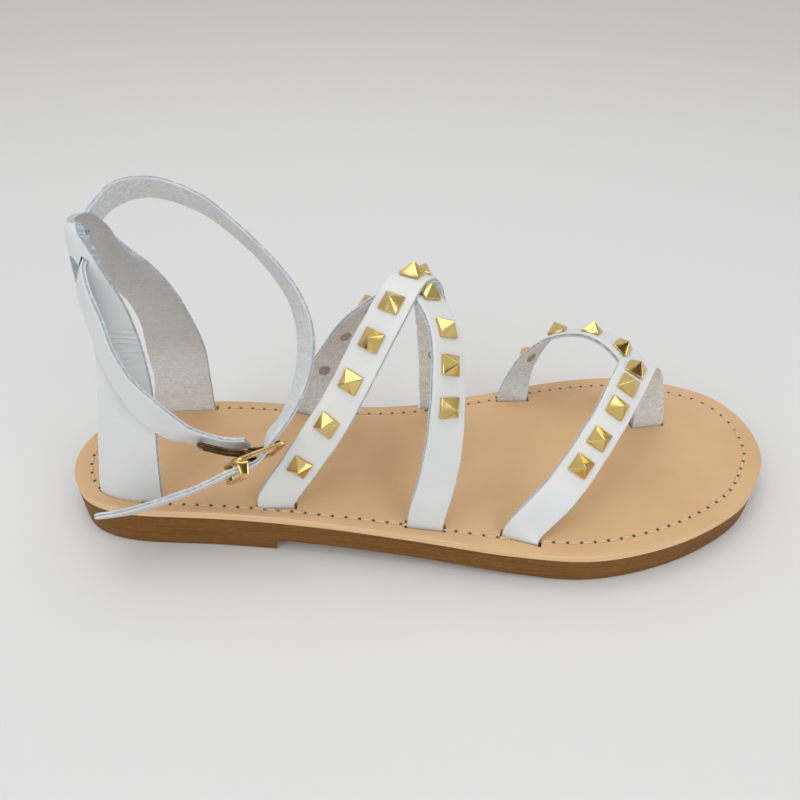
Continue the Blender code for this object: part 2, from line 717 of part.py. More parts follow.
def make_joined_straps(name, first, second, first_key, second_key, meshes):
    """Two straps joined where they cross, with holes for their studs."""
    upper = add_part(name, first.sheet(name, STRAP_WIDTH), WHITE)
    solidify(upper, STRAP_THICKNESS, 0.0)
    under = add_cutter(f"{name}_under", second.sheet(f"{name}_under", STRAP_WIDTH))
    solidify(under, STRAP_THICKNESS, 0.0)
    boolean(upper, under, "UNION")
    for key, band in ((first_key, first), (second_key, second)):
        boolean(upper, add_studs(key, band, *meshes), "DIFFERENCE")


clear_scene()
PARTS = new_collection("studded_toe_post_sandal")
CUTTERS = new_collection("cutters")
RUBBER = finish("outsole_rubber")
TAN = finish("insole_leather")
WHITE = finish("white_leather")
GOLD = finish("gold_metal")

make_outsole()
make_insole(counter_slot_cutter())
make_counter(make_ankle_strap())
make_buckle()
STUD_MESHES = (stud_mesh("backed_stud", True), stud_mesh("plain_stud", False))
REAR = strap_band("rear_outer", REAR_STRAP, "front_inner", -1, 1)
FRONT = strap_band("front_outer", FRONT_STRAP, "rear_inner", -1, 1)
make_joined_straps("instep_straps", REAR, FRONT, "rear", "front", STUD_MESHES)
TOE_OUTER = strap_band("toe_outer", OUTER_TOE_STRAP, "post", -1, 1, -POST_HALF_PITCH)
TOE_INNER = strap_band("toe_inner", INNER_TOE_STRAP, "post", 1, -1, -POST_HALF_PITCH)
make_joined_straps("toe_straps", TOE_OUTER, TOE_INNER, "toe_outer", "toe_inner", STUD_MESHES)
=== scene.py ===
"""Dressed studded toe post sandal: leather, stitching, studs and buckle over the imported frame.

Lengths in the tables are millimetres from the back of the heel: x to the toe, y to the inner side
of the foot, z up from the floor. Every surface is worked out as whole arrays and then put in metres.
"""
import math

import bmesh
import bpy
import numpy as np
from mathutils import Matrix


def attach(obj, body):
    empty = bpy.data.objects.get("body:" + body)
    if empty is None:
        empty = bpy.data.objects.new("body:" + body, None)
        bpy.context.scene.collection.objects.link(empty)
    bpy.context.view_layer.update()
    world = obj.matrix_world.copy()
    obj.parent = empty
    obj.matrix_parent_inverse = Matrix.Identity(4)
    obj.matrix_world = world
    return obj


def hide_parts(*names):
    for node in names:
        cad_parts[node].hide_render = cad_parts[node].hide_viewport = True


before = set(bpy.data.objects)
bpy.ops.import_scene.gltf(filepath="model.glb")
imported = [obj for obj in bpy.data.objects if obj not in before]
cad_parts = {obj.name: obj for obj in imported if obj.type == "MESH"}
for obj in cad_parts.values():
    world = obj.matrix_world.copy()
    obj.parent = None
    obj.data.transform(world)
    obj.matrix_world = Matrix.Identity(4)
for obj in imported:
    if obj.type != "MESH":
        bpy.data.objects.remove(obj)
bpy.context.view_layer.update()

# Main sizes
HEEL_SEAT_X = 30.0
GAP = 0.3
INSOLE_THICKNESS = 3.5
STRAP_WIDTH = 12.0
STRAP_THICKNESS = 1.8
ANKLE_THICKNESS = 1.6
COUNTER_THICKNESS = 2.0
POST_HALF_PITCH = 0.7
BREAST_X = 72.0
BREAST_LEAN = 0.5
JOINT_HEIGHT = 13.5
JOINT_DROP = 4.0
JOINT_SLOPE = (60.0, 180.0)

# Straps: upright rise over a slot, room in it, step along a strap, its rolled edge and its crown;
# then over the flesh side the top of the bare core, and the set-in and rise of the corner,
# and the height and length of the waves on the cut edges and on the flesh side
SLOT_RISE = 2.0
SLOT_CLEARANCE = 0.8
STRAP_STEP = 0.65
EDGE_ROLL = 0.4
CROWN = 0.1
CORE_TOP = 0.5
FLESH_CORNER = (0.12, 0.15)
EDGE_WAVES = (0.14, 5.0)
FLESH_WAVES = (0.05, 2.2)

# Sole outline: station, inner edge, outer edge
OUTLINE = (
    (1.9, 10.8, -9), (8, 21, -18.5), (15.5, 26.7, -23.2), (25, 30.5, -26), (55, 30, -29.5),
    (90, 26, -35), (120, 26.5, -41), (150, 33.5, -47.5), (175, 40, -50.5), (195, 43, -48),
    (215, 43, -41.5), (235, 36.5, -30), (246, 29.5, -17.5), (252, 20, -7.5),
)
HEEL_TIP = (0, 1)
TOE_TIP = (254.5, 7.5)

# Tread in front of the heel breast: station, height over the floor
TREAD = ((72, 4.5), (95, 4), (115, 3.5), (134, 2.5), (147, 1.5), (160, 0.5), (168, 0),
         (228, 0), (262, 0.5))

# Seam of the insole: station, inset from the outer edge, inset from the inner edge;
# then the pitch of its stitches, its groove and the rounding of the rim
SEAM = ((0, 6, 6), (12, 4.8, 5), (30, 3.1, 4.5), (90, 3.2, 4.5), (130, 4.5, 4.6),
        (175, 5.5, 5), (215, 5.8, 5.5), (254.5, 6.3, 6.3))
SEAM_PITCH = 4.6
GROOVE_DEPTH = 0.34
GROOVE_WIDTH = 0.48
RIM_RADIUS = 0.9

# Stitches: start and length in one pitch, radius, its share upright and its loss at the ends,
# height of the arch, drop of its ends and depth of the whole in the groove
STITCH_SPAN = (0.09, 0.82)
STITCH_RADIUS = 0.52
STITCH_FLATNESS = 0.75
STITCH_TAPER = 0.45
STITCH_ARCH = 0.16
STITCH_DROP = 0.75
STITCH_SUNK = 0.25

# Marks for the seam's finish: the value on the seam itself, and one that is far from it
ON_SEAM = 20.0
OFF_SEAM = 40.0

# Stations of the two sole layers, behind and before the heel breast;
# then start and length of the insole's spine, and height and width of its soft hills
OUTSOLE_STATIONS = (120, 300)
INSOLE_STATIONS = (110, 250)
SPINE = (28.0, 202.0)
INSOLE_HILLS = (0.06, 11.0)

# Heel counter: height, back of the wall, inner and outer front edges, half width, middle;
# then points round it, how square its foot is, the heights where it turns round and leans back,
# in metres where painted shade darkens its flesh side towards the top, height and width of the hills on
# that side, and the reach of its slot up and down with the room before its inner and outer leg
COUNTER = (
    (14, 9, 45.5, 34.8, 25, 2), (20, 9, 45.5, 35.2, 25, 2), (33, 11, 46, 36.6, 24.5, 2),
    (47, 13.5, 46.8, 38.3, 22.5, 1.5), (61, 15.5, 45.6, 39.2, 19, 1), (75, 18, 42.6, 37.6, 15, 1.5),
    (85, 19, 38.4, 34.8, 12, 2), (94, 19.5, 32, 30.6, 9.5, 2), (100.5, 20, 28.5, 28, 7.5, 1.5),
    (105, 21, 26.5, 26, 5.5, 0.5), (107.5, 22.5, 25.5, 25.5, 3.5, 0),
)
COUNTER_POINTS = 111
FOOT_SQUARENESS = 0.45
ROUND_FROM = (60.0, 90.0)
LEAN_FROM = (92.0, 105.0)
PAINTED_SHADE_HEIGHTS = (0.036, 0.058)
COUNTER_HILLS = (0.1, 2.0)
COUNTER_SLOT_REACH = 12.0
COUNTER_SLOT_ROOM = (1.0, 2.5)

# Open back of the counter: height, back edge of the outer leg, back edge of the inner leg
COUNTER_OPENING = (
    (0, 9, 23), (20, 12.8, 24), (33, 15.8, 26.6), (47, 19.4, 27.4), (61, 22.6, 29),
    (68, 23.6, 28.5), (74, 23.2, 27.3), (80, 21.4, 24.6), (84, 18.6, 20.4), (86, 12, 13),
)

# Creases on the outer panel of the counter: height, middle, half length, depth;
# then their width, bow and the length of its wave, and how far out the panel starts and is full
CREASES = (
    (78, 35, 4, 0.24), (76.4, 34, 5, 0.36), (75, 34, 5.5, 0.4), (73.5, 33, 6, 0.4), (72.2, 34, 5.5, 0.38),
    (70.8, 33.5, 6, 0.36), (69.4, 34, 5, 0.3), (67.8, 33, 6, 0.26), (65.5, 33, 5, 0.2),
)
CREASE_WIDTH = 0.4
CREASE_BOW = (0.3, 2.2)
PANEL_FROM = (8.0, 12.0)

# Slots in the insole: heights that the cut spans, then middle x, middle y and direction in degrees of each
SLOT_CUT = (2.0, 24.0)
SLOTS = {
    "rear_outer": (73.5, -27, -2),
    "front_outer": (122.5, -37, -9),
    "front_inner": (132, 25, -11),
    "rear_inner": (81.5, 22, -18),
    "toe_outer": (153.5, -42.5, -21),
    "toe_inner": (164.5, 30.5, 0),
    "post": (214.5, 13, 5),
}

# Straps between their slots: middle of the strap and the way its smooth side faces
REAR_STRAP = (
    (83, -25, 34, -0.1, -0.95, 0.2), (95.5, -21.5, 53.5, -0.35, -0.75, 0.5),
    (108, -11.5, 74, -0.25, -0.6, 0.75), (119, 5, 83.5, 0.05, 0, 1),
    (125.5, 18.5, 74.5, 0.35, 0.65, 0.7), (130.5, 27.5, 46.5, 0.3, 0.95, 0.1),
)
FRONT_STRAP = (
    (127, -34, 41, 0.15, -0.95, 0.2), (129, -24, 63.5, 0.5, -0.7, 0.5),
    (128.5, -10, 75, 0.5, -0.2, 0.85), (121.5, 5.5, 79, 0.2, 0.3, 0.95),
    (105, 19.5, 63, -0.35, 0.75, 0.55), (91.5, 24.5, 40, -0.3, 0.95, 0.2),
)
OUTER_TOE_STRAP = (
    (167.5, -34, 26.5, -0.05, -0.85, 0.55), (183, -20.5, 42.5, 0.15, -0.75, 0.65),
    (193.5, -7, 50, 0.2, -0.4, 0.9), (200, 3, 49, 0.3, 0.35, 0.9),
    (205.5, 10, 42, 0.4, 0.8, 0.5), (210.5, 12.5, 31, -0.05, 1, 0.05),
)
INNER_TOE_STRAP = (
    (170, 36.5, 28, -0.55, 0.85, 0.15), (179, 36, 40, -0.4, 0.55, 0.7),
    (190, 30.5, 44.5, 0.1, 0.35, 0.95), (198, 24.5, 44, 0.3, -0.05, 0.95),
    (205.5, 18, 38, 0.3, -0.45, 0.85), (210.5, 14, 28, 0.05, -1, -0.05),
)

# Ankle strap from its cut end on the buckle, through the counter, round the loop, and through the buckle
# to its free end; then the rows at its two slits, the near slit's oval and the room in them
ANKLE_STRAP = (
    (66.5, -23, 41.5, -0.05, -0.8, -0.6), (62, -23, 41.5, -0.1, -0.8, -0.6),
    (56, -23, 42.5, -0.1, -0.85, -0.55), (50, -23.5, 45.5, -0.1, -0.85, -0.5),
    (46.5, -24.5, 48, -0.1, -0.9, -0.4), (39, -25, 58, -0.35, -0.95, -0.1),
    (33.5, -22.5, 66, -0.6, -0.8, -0.05), (30, -19.5, 74, -0.7, -0.7, 0),
    (27.5, -15, 82.5, -0.75, -0.65, 0.05), (25, -10.5, 89, -0.8, -0.6, 0.1),
    (23.5, -5, 92.5, -0.8, -0.6, 0.15), (24.5, -1, 94, -0.9, -0.3, 0.15),
    (23.5, 2, 94.5, -1, 0, 0.15), (23.5, 4.5, 94.5, -0.9, 0.3, 0.15),
    (21, 8, 95, -0.8, 0.6, 0.15), (20.5, 13.5, 96.5, -0.95, 0.2, 0.22),
    (22, 21, 99.5, -0.87, 0.29, 0.4), (26, 30.5, 102, -0.66, 0.54, 0.5),
    (36, 38, 101.5, -0.1, 0.76, 0.64), (50.5, 38, 96, 0.45, 0.72, 0.48),
    (63, 32.5, 88, 0.7, 0.6, 0.4), (74, 24.5, 79.5, 0.75, 0.55, 0.3),
    (81.5, 17, 71, 0.85, 0.55, 0.1), (85, 7, 62.5, 0.9, 0.35, -0.3),
    (84, -4.5, 54, 0.85, 0.1, -0.55), (79.5, -15.5, 47.5, 0.7, -0.2, -0.65),
    (74, -22, 43, 0.75, -0.15, -0.65), (70, -26.5, 37.5, 0.75, -0.4, -0.55),
    (67, -28, 36, 0.4, -0.65, -0.65), (63, -28.5, 35, 0.35, -0.65, -0.65),
    (56, -29, 31.5, 0.4, -0.65, -0.65), (49.5, -29, 28, 0.35, -0.65, -0.65),
    (38.5, -31.5, 25.5, 0.3, -0.7, -0.65), (28, -32.5, 22.5, 0.2, -0.75, -0.65),
    (17, -32.5, 20.5, 0.1, -0.75, -0.65),
)
SLIT_ROWS = (9, 15)
SLIT_OPENING = ((21.2, -4.2, 91), (4.4, 3.4, 6.8))
SLIT_CLEARANCE = 0.8

# Buckle: middle of its bar, and its forward, outward and sideways directions
BUCKLE_MIDDLE = np.array((66.0, -25.0, 39.5))
BUCKLE_FORWARD = np.array((1.0, 0.0, 0.0))
BUCKLE_OUTWARD = np.array((0.0, -0.67, -0.742))
BUCKLE_SIDEWAYS = np.cross(BUCKLE_FORWARD, BUCKLE_OUTWARD)

# Buckle loops and bar: corners by forward, outward and sideways distance; prong by the first two
FRONT_LOOP = ((13.2, -2.9, -7.4), (-1.4, 2.3, -7.6), (-7.6, 4.4, 7.4), (7.2, 1, 7.6))
KEEPER_LOOP = ((0.1, 2.5, -7.9), (0.9, 7.3, -7.9), (-6.6, 10.2, 7.9), (-7.3, 4.6, 7.9))
REAR_LOOP = ((2.4, 0.2, -6.8), (-5, -0.7, -7), (-13.2, -2.9, -6.6), (-15.2, -1.9, 6.6), (-7.4, 0.3, 7),
             (0, 1.1, 6.8))
CENTRE_BAR = ((4.6, 0.2, -7.4), (-1.6, 2.3, 7.4))
PRONG_PATH = ((3.2, 1.9), (2.1, 2.4), (0.8, 2), (0.3, 0.8), (0.9, -0.5), (2.3, -0.9), (4.5, -1),
              (7.5, -1.9), (9.6, -2.7), (10.8, -3))

# Studs: sizes, the rings before the shank, and distance along each strap with whether a rivet back shows
STUD_SIDE = 6.5
STUD_HEIGHT = 4.3
STUD_RIM = 0.75
RIVET_RADIUS = 2.2
FRONT_RINGS = 9
STUDS = {
    "rear": ((22, 1), (40, 1), (56, 1), (70, 1), (83, 1), (97, 0), (108, 0), (122, 1), (137, 1), (151, 1)),
    "front": ((47.5, 1), (60, 1), (71.5, 1), (85.5, 1), (115, 1), (132.5, 1), (150.5, 1)),
    "toe_outer": ((34.5, 1), (45, 1), (57, 1), (66.5, 1), (74.5, 1)),
    "toe_inner": ((22.5, 1), (37.5, 1), (50.5, 1), (63, 1)),
}

# Loose fibres: count to a length of edge, seed, radius and its loss at the tip, shortest length
# and most added to it, depth of the root, and what stays bare at the ends of a strap
FIBRE_COUNT = (380, 200.0)
FIBRE_SEED = 21
FIBRE_RADIUS = 0.085
FIBRE_TAPER = 0.75
FIBRE_LENGTHS = (0.3, 1.1)
FIBRE_ROOT = 0.08
BARE_END = 6.0

# Camera: place in metres, and its turn, downward tilt and lean in radians
CAMERA_PLACE = (0.07293, -0.18747, 0.1885)
CAMERA_YAW = 0.0711
CAMERA_DOWN = 0.6727
CAMERA_LEAN = 0.0137
CAMERA_LENS = 30.976

# Lights: name, place, target, side in metres and power in watts
LIGHTS = (
    ("overhead_light", (0.05, 0.15, 0.95), (0.09, 0.0, 0.02), 0.7, 2.2),
    ("left_light", (-0.6, -0.6, 0.55), (0.03, 0.0, 0.05), 0.5, 1.4),
    ("front_light", (0.62, -0.72, 0.55), (0.06, 0.0, 0.03), 0.6, 2.1),
)

# Surround: its strength, and dark cards by direction, start and full nearness, greatest share and tone
SURROUND_STRENGTH = 0.79
DARK_CARDS = (
    ((0.0, -0.74, 0.67), 0.93, 0.975, 1.0, (0.12, 0.11, 0.10)),
    ((0.9, 0.2, 0.35), 0.7, 0.95, 0.5, (0.30, 0.29, 0.28)),
)


# Curves and arrays

def to_metres(points):
    """Table millimetres into the frame's metres: the heel seat becomes x = 0."""
    return (np.asarray(points, float) - (HEEL_SEAT_X, 0.0, 0.0)) * 0.001


def unit(vectors):
    """Vectors of length one."""
    return vectors / np.linalg.norm(vectors, axis=-1, keepdims=True)


def ease(values, low, high):
    """0 below low, 1 above high, with a smooth S between."""
    share = np.clip((np.asarray(values, float) - low) / (high - low), 0.0, 1.0)
    return share * share * (3.0 - 2.0 * share)


def uneven(u, v, seed):
    """Soft random hills: a seeded lattice of heights from -1 to 1, eased between its points."""
    size = 97
    lattice = np.random.default_rng(seed).uniform(-1.0, 1.0, (size, size))
    u, v = np.broadcast_arrays(np.asarray(u, float), np.asarray(v, float))
    i, j = np.floor(u).astype(int), np.floor(v).astype(int)
    a, b = ease(u - i, 0.0, 1.0), ease(v - j, 0.0, 1.0)
    i0, j0, i1, j1 = i % size, j % size, (i + 1) % size, (j + 1) % size
    near = lattice[i0, j0] * (1 - b) + lattice[i0, j1] * b
    far = lattice[i1, j0] * (1 - b) + lattice[i1, j1] * b
    return near * (1 - a) + far * a


def smooth_path(rows, samples=24):
    """Catmull-Rom curve through the rows: knots a square root of the step apart, blended thrice."""
    rows = np.asarray(rows, float)
    rows = np.vstack((2 * rows[0] - rows[1], rows, 2 * rows[-1] - rows[-2]))
    a, b, c, d = (rows[k:len(rows) - 3 + k, None, :] for k in range(4))
    step = [np.linalg.norm((q - p)[..., :3], axis=-1, keepdims=True) ** 0.5
            for p, q in ((a, b), (b, c), (c, d))]
    k1, k2, k3 = step[0], step[0] + step[1], step[0] + step[1] + step[2]
    k = k1 + (k2 - k1) * np.linspace(0.0, 1.0, samples, endpoint=False)[None, :, None]
    ab = ((k1 - k) * a + k * b) / k1
    bc = ((k2 - k) * b + (k - k1) * c) / (k2 - k1)
    cd = ((k3 - k) * c + (k - k2) * d) / (k3 - k2)
    abc = ((k2 - k) * ab + k * bc) / k2
    bcd = ((k3 - k) * bc + (k - k1) * cd) / (k3 - k1)
    curve = ((k2 - k) * abc + (k - k1) * bcd) / (k2 - k1)
    return np.vstack((curve.reshape(-1, rows.shape[1]), rows[-2]))


def reach_along(line):
    """Distance of each point of a polyline from its start."""
    return np.concatenate(([0.0], np.cumsum(np.linalg.norm(np.diff(line, axis=0), axis=1))))


def along_line(line, count):
    """Evenly spaced points of a polyline."""
    reach = reach_along(line)
    distances = np.linspace(0.0, reach[-1], count)
    return np.stack([np.interp(distances, reach, column) for column in line.T], axis=-1)


def between(first, second, shares):
    """Grid between two lines: each row goes straight from one line to the other by the shares."""
    return first[:, None] * (1 - shares[None, :, None]) + second[:, None] * shares[None, :, None]


def full_turn(count):
    """Angles evenly round a circle."""
    return np.linspace(0.0, 2 * math.pi, count, endpoint=False)


class Band:
    """A strap along its rows: middle line, direction, smooth side and width direction."""

    def __init__(self, rows):
        dense = smooth_path(rows)
        self.middle = dense[:, :3]
        self.length = reach_along(self.middle)
        along = unit(np.gradient(self.middle, self.length, axis=0))
        face = dense[:, 3:] - np.sum(dense[:, 3:] * along, axis=1, keepdims=True) * along
        self.frames = np.hstack((self.middle, along, unit(face)))

    def at(self, distances):
        """Middle, direction, smooth side and width direction at distances along the band."""
        found = np.stack([np.interp(distances, self.length, column) for column in self.frames.T], axis=-1)
        along, face = unit(found[..., 3:6]), unit(found[..., 6:9])
        return found[..., :3], along, face, np.cross(along, face)


# Meshes and pieces

def grid_faces(rows, columns, closed=False):
    """Quads over a grid of points numbered row by row, joined round the columns if closed."""
    index = np.arange(rows * columns).reshape(rows, columns)
    if closed:
        index = np.hstack((index, index[:, :1]))
    return np.stack((index[:-1, :-1], index[1:, :-1], index[1:, 1:], index[:-1, 1:]), axis=-1)


def tube_blocks(rows, columns, kinds=0, first=0, last=0, starts=(0,), turned=False):
    """Walls and end caps of closed tubes numbered row by row from each start, turned round if asked."""
    starts = np.asarray(starts)[:, None]
    walls = grid_faces(rows, columns, closed=True) + starts[..., None, None]
    low = np.arange(columns) + starts
    high = low[:, ::-1] + (rows - 1) * columns
    if turned:
        walls, low, high = walls[..., ::-1], low[:, ::-1], high[:, ::-1]
    return [(walls, kinds), (low, first), (high, last)]


def fill_mesh(name, points, blocks, materials, marks=None):
    """A mesh from points in millimetres and blocks of (corner numbers, finish number of each face)."""
    mesh = bpy.data.meshes.new(name)
    for material in materials:
        mesh.materials.append(material)
    points = to_metres(points).reshape(-1, 3)
    mesh.vertices.add(len(points))
    mesh.vertices.foreach_set("co", points.ravel())
    corners = np.concatenate([np.ravel(faces) for faces, _ in blocks])
    sizes = np.concatenate([np.full(faces[..., 0].size, faces.shape[-1]) for faces, _ in blocks])
    kinds = np.concatenate([np.broadcast_to(kind, faces.shape[:-1]).ravel() for faces, kind in blocks])
    mesh.loops.add(len(corners))
    mesh.loops.foreach_set("vertex_index", corners.astype(np.int32))
    mesh.polygons.add(len(sizes))
    mesh.polygons.foreach_set("loop_start", np.concatenate(([0], np.cumsum(sizes)[:-1])).astype(np.int32))
    mesh.polygons.foreach_set("material_index", kinds.astype(np.int32))
    if marks is not None:
        layer = mesh.attributes.new("run", "FLOAT_VECTOR", "POINT")
        layer.data.foreach_set("vector", np.asarray(marks, float).ravel())
    mesh.update(calc_edges=True)
    mesh.validate()
    return mesh


def weld(mesh, distance=1e-6):
    """Join points that meet, and drop what collapses."""
    work = bmesh.new()
    work.from_mesh(mesh)
    bmesh.ops.remove_doubles(work, verts=work.verts, dist=distance)
    bmesh.ops.dissolve_degenerate(work, edges=work.edges, dist=distance)
    work.to_mesh(mesh)
    work.free()
    return mesh


def link_object(name, data):
    """A new object in the scene."""
    thing = bpy.data.objects.new(name, data)
    bpy.context.scene.collection.objects.link(thing)
    return thing


def cut_mesh(mesh, *cutters):
    """A mesh with closed cutter meshes taken out of it."""
    body = link_object("cut_body", mesh)
    tools = [link_object("cut_tool", cutter) for cutter in cutters]
    for tool in tools:
        change = body.modifiers.new("cut", "BOOLEAN")
        change.operation = "DIFFERENCE"
        change.solver = "EXACT"
        change.object = tool
    bpy.context.view_layer.update()
    graph = bpy.context.evaluated_depsgraph_get()
    done = bpy.data.meshes.new_from_object(body.evaluated_get(graph))
    done.name = mesh.name
    for item in (body, *tools):
        bpy.data.objects.remove(item, do_unlink=True)
    return done


def add_piece(name, mesh, nodes=(), sharp=38.0):
    """Put a finished mesh on the root body, with the nodes it stands for."""
    mesh.polygons.foreach_set("use_smooth", np.ones(len(mesh.polygons), bool))
    mesh.set_sharp_from_angle(angle=math.radians(sharp))
    piece = link_object(name, mesh)
    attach(piece, "root")
    if nodes:
        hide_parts(*nodes)
    return piece


# Shader helpers

class Tree:
    """Short way to add nodes to a node tree: sockets are linked and plain values set."""

    def __init__(self, tree):
        self.tree = tree

    def add(self, kind, inputs=None, **settings):
        """A node of a kind, with settings and inputs by name or number."""
        node = self.tree.nodes.new(kind)
        for key, value in settings.items():
            setattr(node, key, value)
        for key, value in (inputs or {}).items():
            if isinstance(value, bpy.types.NodeSocket):
                self.tree.links.new(value, node.inputs[key])
            else:
                node.inputs[key].default_value = value
        return node

    def sum(self, operation, a, b=0.0, c=0.0):
        """One step of arithmetic on values."""
        return self.add("ShaderNodeMath", {0: a, 1: b, 2: c}, operation=operation).outputs[0]

    def span(self, value, low, high, to_low=0.0, to_high=1.0):
        """A value moved from one range smoothly into another."""
        inputs = {"Value": value, "From Min": low, "From Max": high, "To Min": to_low, "To Max": to_high}
        return self.add("ShaderNodeMapRange", inputs, interpolation_type="SMOOTHSTEP").outputs["Result"]

    def mix(self, share, a, b):
        """A colour between two colours, each a socket or its red, green and blue."""
        a, b = (tone if isinstance(tone, bpy.types.NodeSocket) else (*tone, 1.0) for tone in (a, b))
        return self.add("ShaderNodeMix", {0: share, 6: a, 7: b}, data_type="RGBA").outputs[2]

    def noise(self, place, scale, detail=3.0, roughness=0.55):
        """Soft noise from 0 to 1."""
        inputs = {"Vector": place, "Scale": scale, "Detail": detail, "Roughness": roughness}
        return self.add("ShaderNodeTexNoise", inputs).outputs["Fac"]

    def place(self):
        """Object coordinates."""
        return self.add("ShaderNodeTexCoord").outputs["Object"]

    def parts(self, vector):
        """The three parts of a vector."""
        return self.add("ShaderNodeSeparateXYZ", {0: vector}).outputs

    def run(self):
        """The marks on a mesh: the run along its seam or stitch, and the way off it or round it."""
        return self.parts(self.add("ShaderNodeAttribute", attribute_name="run").outputs["Vector"])

    def stretched(self, scale):
        """Object coordinates drawn out or squeezed along each axis."""
        return self.add("ShaderNodeMapping", {"Vector": self.place(), "Scale": scale}).outputs["Vector"]


def effect(name, inputs, outputs, fill):
    """A shared effect as a node group: named inputs and outputs, and a function that fills it."""
    group = bpy.data.node_groups.new(name, "ShaderNodeTree")
    for key, value in inputs.items():
        socket = group.interface.new_socket(name=key, in_out="INPUT", socket_type="NodeSocketFloat")
        socket.default_value = value
    for key in outputs:
        group.interface.new_socket(name=key, in_out="OUTPUT", socket_type="NodeSocketFloat")
    tree = Tree(group)
    given = tree.add("NodeGroupInput").outputs
    result = tree.add("NodeGroupOutput")
    for key, socket in fill(tree, given).items():
        group.links.new(socket, result.inputs[key])
    return group


def fill_pores(tree, given):
    """Grain of smooth leather: small round cells with fine lines between, broken up by soft noise."""
    place = tree.place()
    inputs = {"Vector": place, "Scale": given["Scale"]}
    cells = tree.add("ShaderNodeTexVoronoi", inputs, feature="SMOOTH_F1")
    soft = tree.noise(place, 420.0, 5.0, 0.6)
    height = tree.sum("MULTIPLY_ADD", soft, 0.9, tree.sum("MULTIPLY", cells.outputs["Distance"], -0.5))
    return {"Height": height, "Tone": tree.noise(place, 38.0, 4.0, 0.55)}


def fill_nap(tree, given):
    """Raised fibres of a flesh side: two crossing directions of drawn-out noise and pale specks."""
    scale = given["Scale"]
    one = tree.noise(tree.stretched((0.35, 1.0, 0.8)), scale, 5.0, 0.7)
    two = tree.noise(tree.stretched((1.0, 0.4, 0.5)), tree.sum("MULTIPLY", scale, 1.7), 4.0, 0.7)
    height = tree.sum("MULTIPLY_ADD", one, 0.6, tree.sum("MULTIPLY", two, 0.4))
    return {"Height": height, "Speck": tree.span(two, 0.48, 0.72), "Shade": tree.span(one, 0.32, 0.68)}


def fill_layers(tree, given):
    """Level lines of a cut edge: noise drawn out along the edge, so it changes mostly with height."""
    lines = tree.noise(tree.stretched((0.022, 0.022, 1.0)), given["Scale"], 4.0, 0.65)
    spots = tree.noise(tree.stretched((0.5, 0.5, 1.0)), 900.0, 3.0, 0.6)
    return {"Line": tree.span(lines, 0.3, 0.7), "Spot": tree.span(spots, 0.45, 0.75)}


PORES = effect("leather_pores", {"Scale": 2600.0}, ("Height", "Tone"), fill_pores)
NAP = effect("suede_nap", {"Scale": 900.0}, ("Height", "Speck", "Shade"), fill_nap)
LAYERS = effect("cut_layers", {"Scale": 2200.0}, ("Line", "Spot"), fill_layers)


class Finish(Tree):
    """A new material: its tree, its shader and the plain values set on the shader."""

    def __init__(self, name, roughness=0.5, metallic=0.0, **sockets):
        self.material = bpy.data.materials.new(name)
        self.material.use_nodes = True
        super().__init__(self.material.node_tree)
        self.inputs = self.tree.nodes["Principled BSDF"].inputs
        for key, value in {"Roughness": roughness, "Metallic": metallic, **sockets}.items():
            self.inputs[key.replace("_", " ")].default_value = value

    def group(self, group, scale):
        """A shared effect placed in the material at its own scale."""
        return self.add("ShaderNodeGroup", {"Scale": scale}, node_tree=group).outputs

    def dress(self, colour, roughness=None, height=None, depth=0.0001, strength=0.5):
        """The material, with colour, roughness and a bump of a height linked to its shader."""
        normal = None
        if height is not None:
            inputs = {"Height": height, "Strength": strength, "Distance": depth}
            normal = self.add("ShaderNodeBump", inputs).outputs["Normal"]
        for key, socket in (("Base Color", colour), ("Roughness", roughness), ("Normal", normal)):
            if socket is not None:
                self.tree.links.new(socket, self.inputs[key])
        return self.material


def white_grain():
    """Smooth white side: pores, a faint cool and warm play of tone, and a soft uneven gloss."""
    tree = Finish("white_smooth_leather")
    pores = tree.group(PORES, 2600.0)
    colour = tree.mix(tree.span(pores["Tone"], 0.3, 0.7), (0.76, 0.765, 0.76), (0.71, 0.73, 0.735))
    gloss = tree.span(pores["Tone"], 0.25, 0.75, 0.36, 0.5)
    return tree.dress(colour, gloss, pores["Height"], 0.00012, 0.35)


def grey_flesh(name, hollow, pile, painted_shade=0.0):
    """Flesh side: grey nap with light fibres and dark hollows, darkened towards the top by a share of
    painted shade.
    """
    tree = Finish(name, 0.95, Sheen_Weight=0.25, Sheen_Roughness=0.6)
    nap = tree.group(NAP, 1300.0)
    base = tree.mix(nap["Shade"], hollow, pile)
    colour = tree.mix(nap["Speck"], base, (0.90, 0.90, 0.90))
    if painted_shade:
        # painted shade: the flesh side grows darker with height over the given span, standing in for the
        # shade at the top of the counter
        height = tree.parts(tree.place())["Z"]
        colour = tree.mix(tree.span(height, *PAINTED_SHADE_HEIGHTS, 0.0, painted_shade), colour, (0.41, 0.395, 0.37))
    return tree.dress(colour, None, nap["Height"], 0.0006, 0.8)


def cut_layers(name, roughness, scale, tones, relief, depth, strength):
    """Cut edge: level fibres between two tones, spots of a third, and a low bump from lines or spots."""
    tree = Finish(name, roughness)
    layers = tree.group(LAYERS, scale)
    base = tree.mix(layers["Line"], *tones[:2])
    return tree.dress(tree.mix(layers["Spot"], base, tones[2]), None, layers[relief], depth, strength)


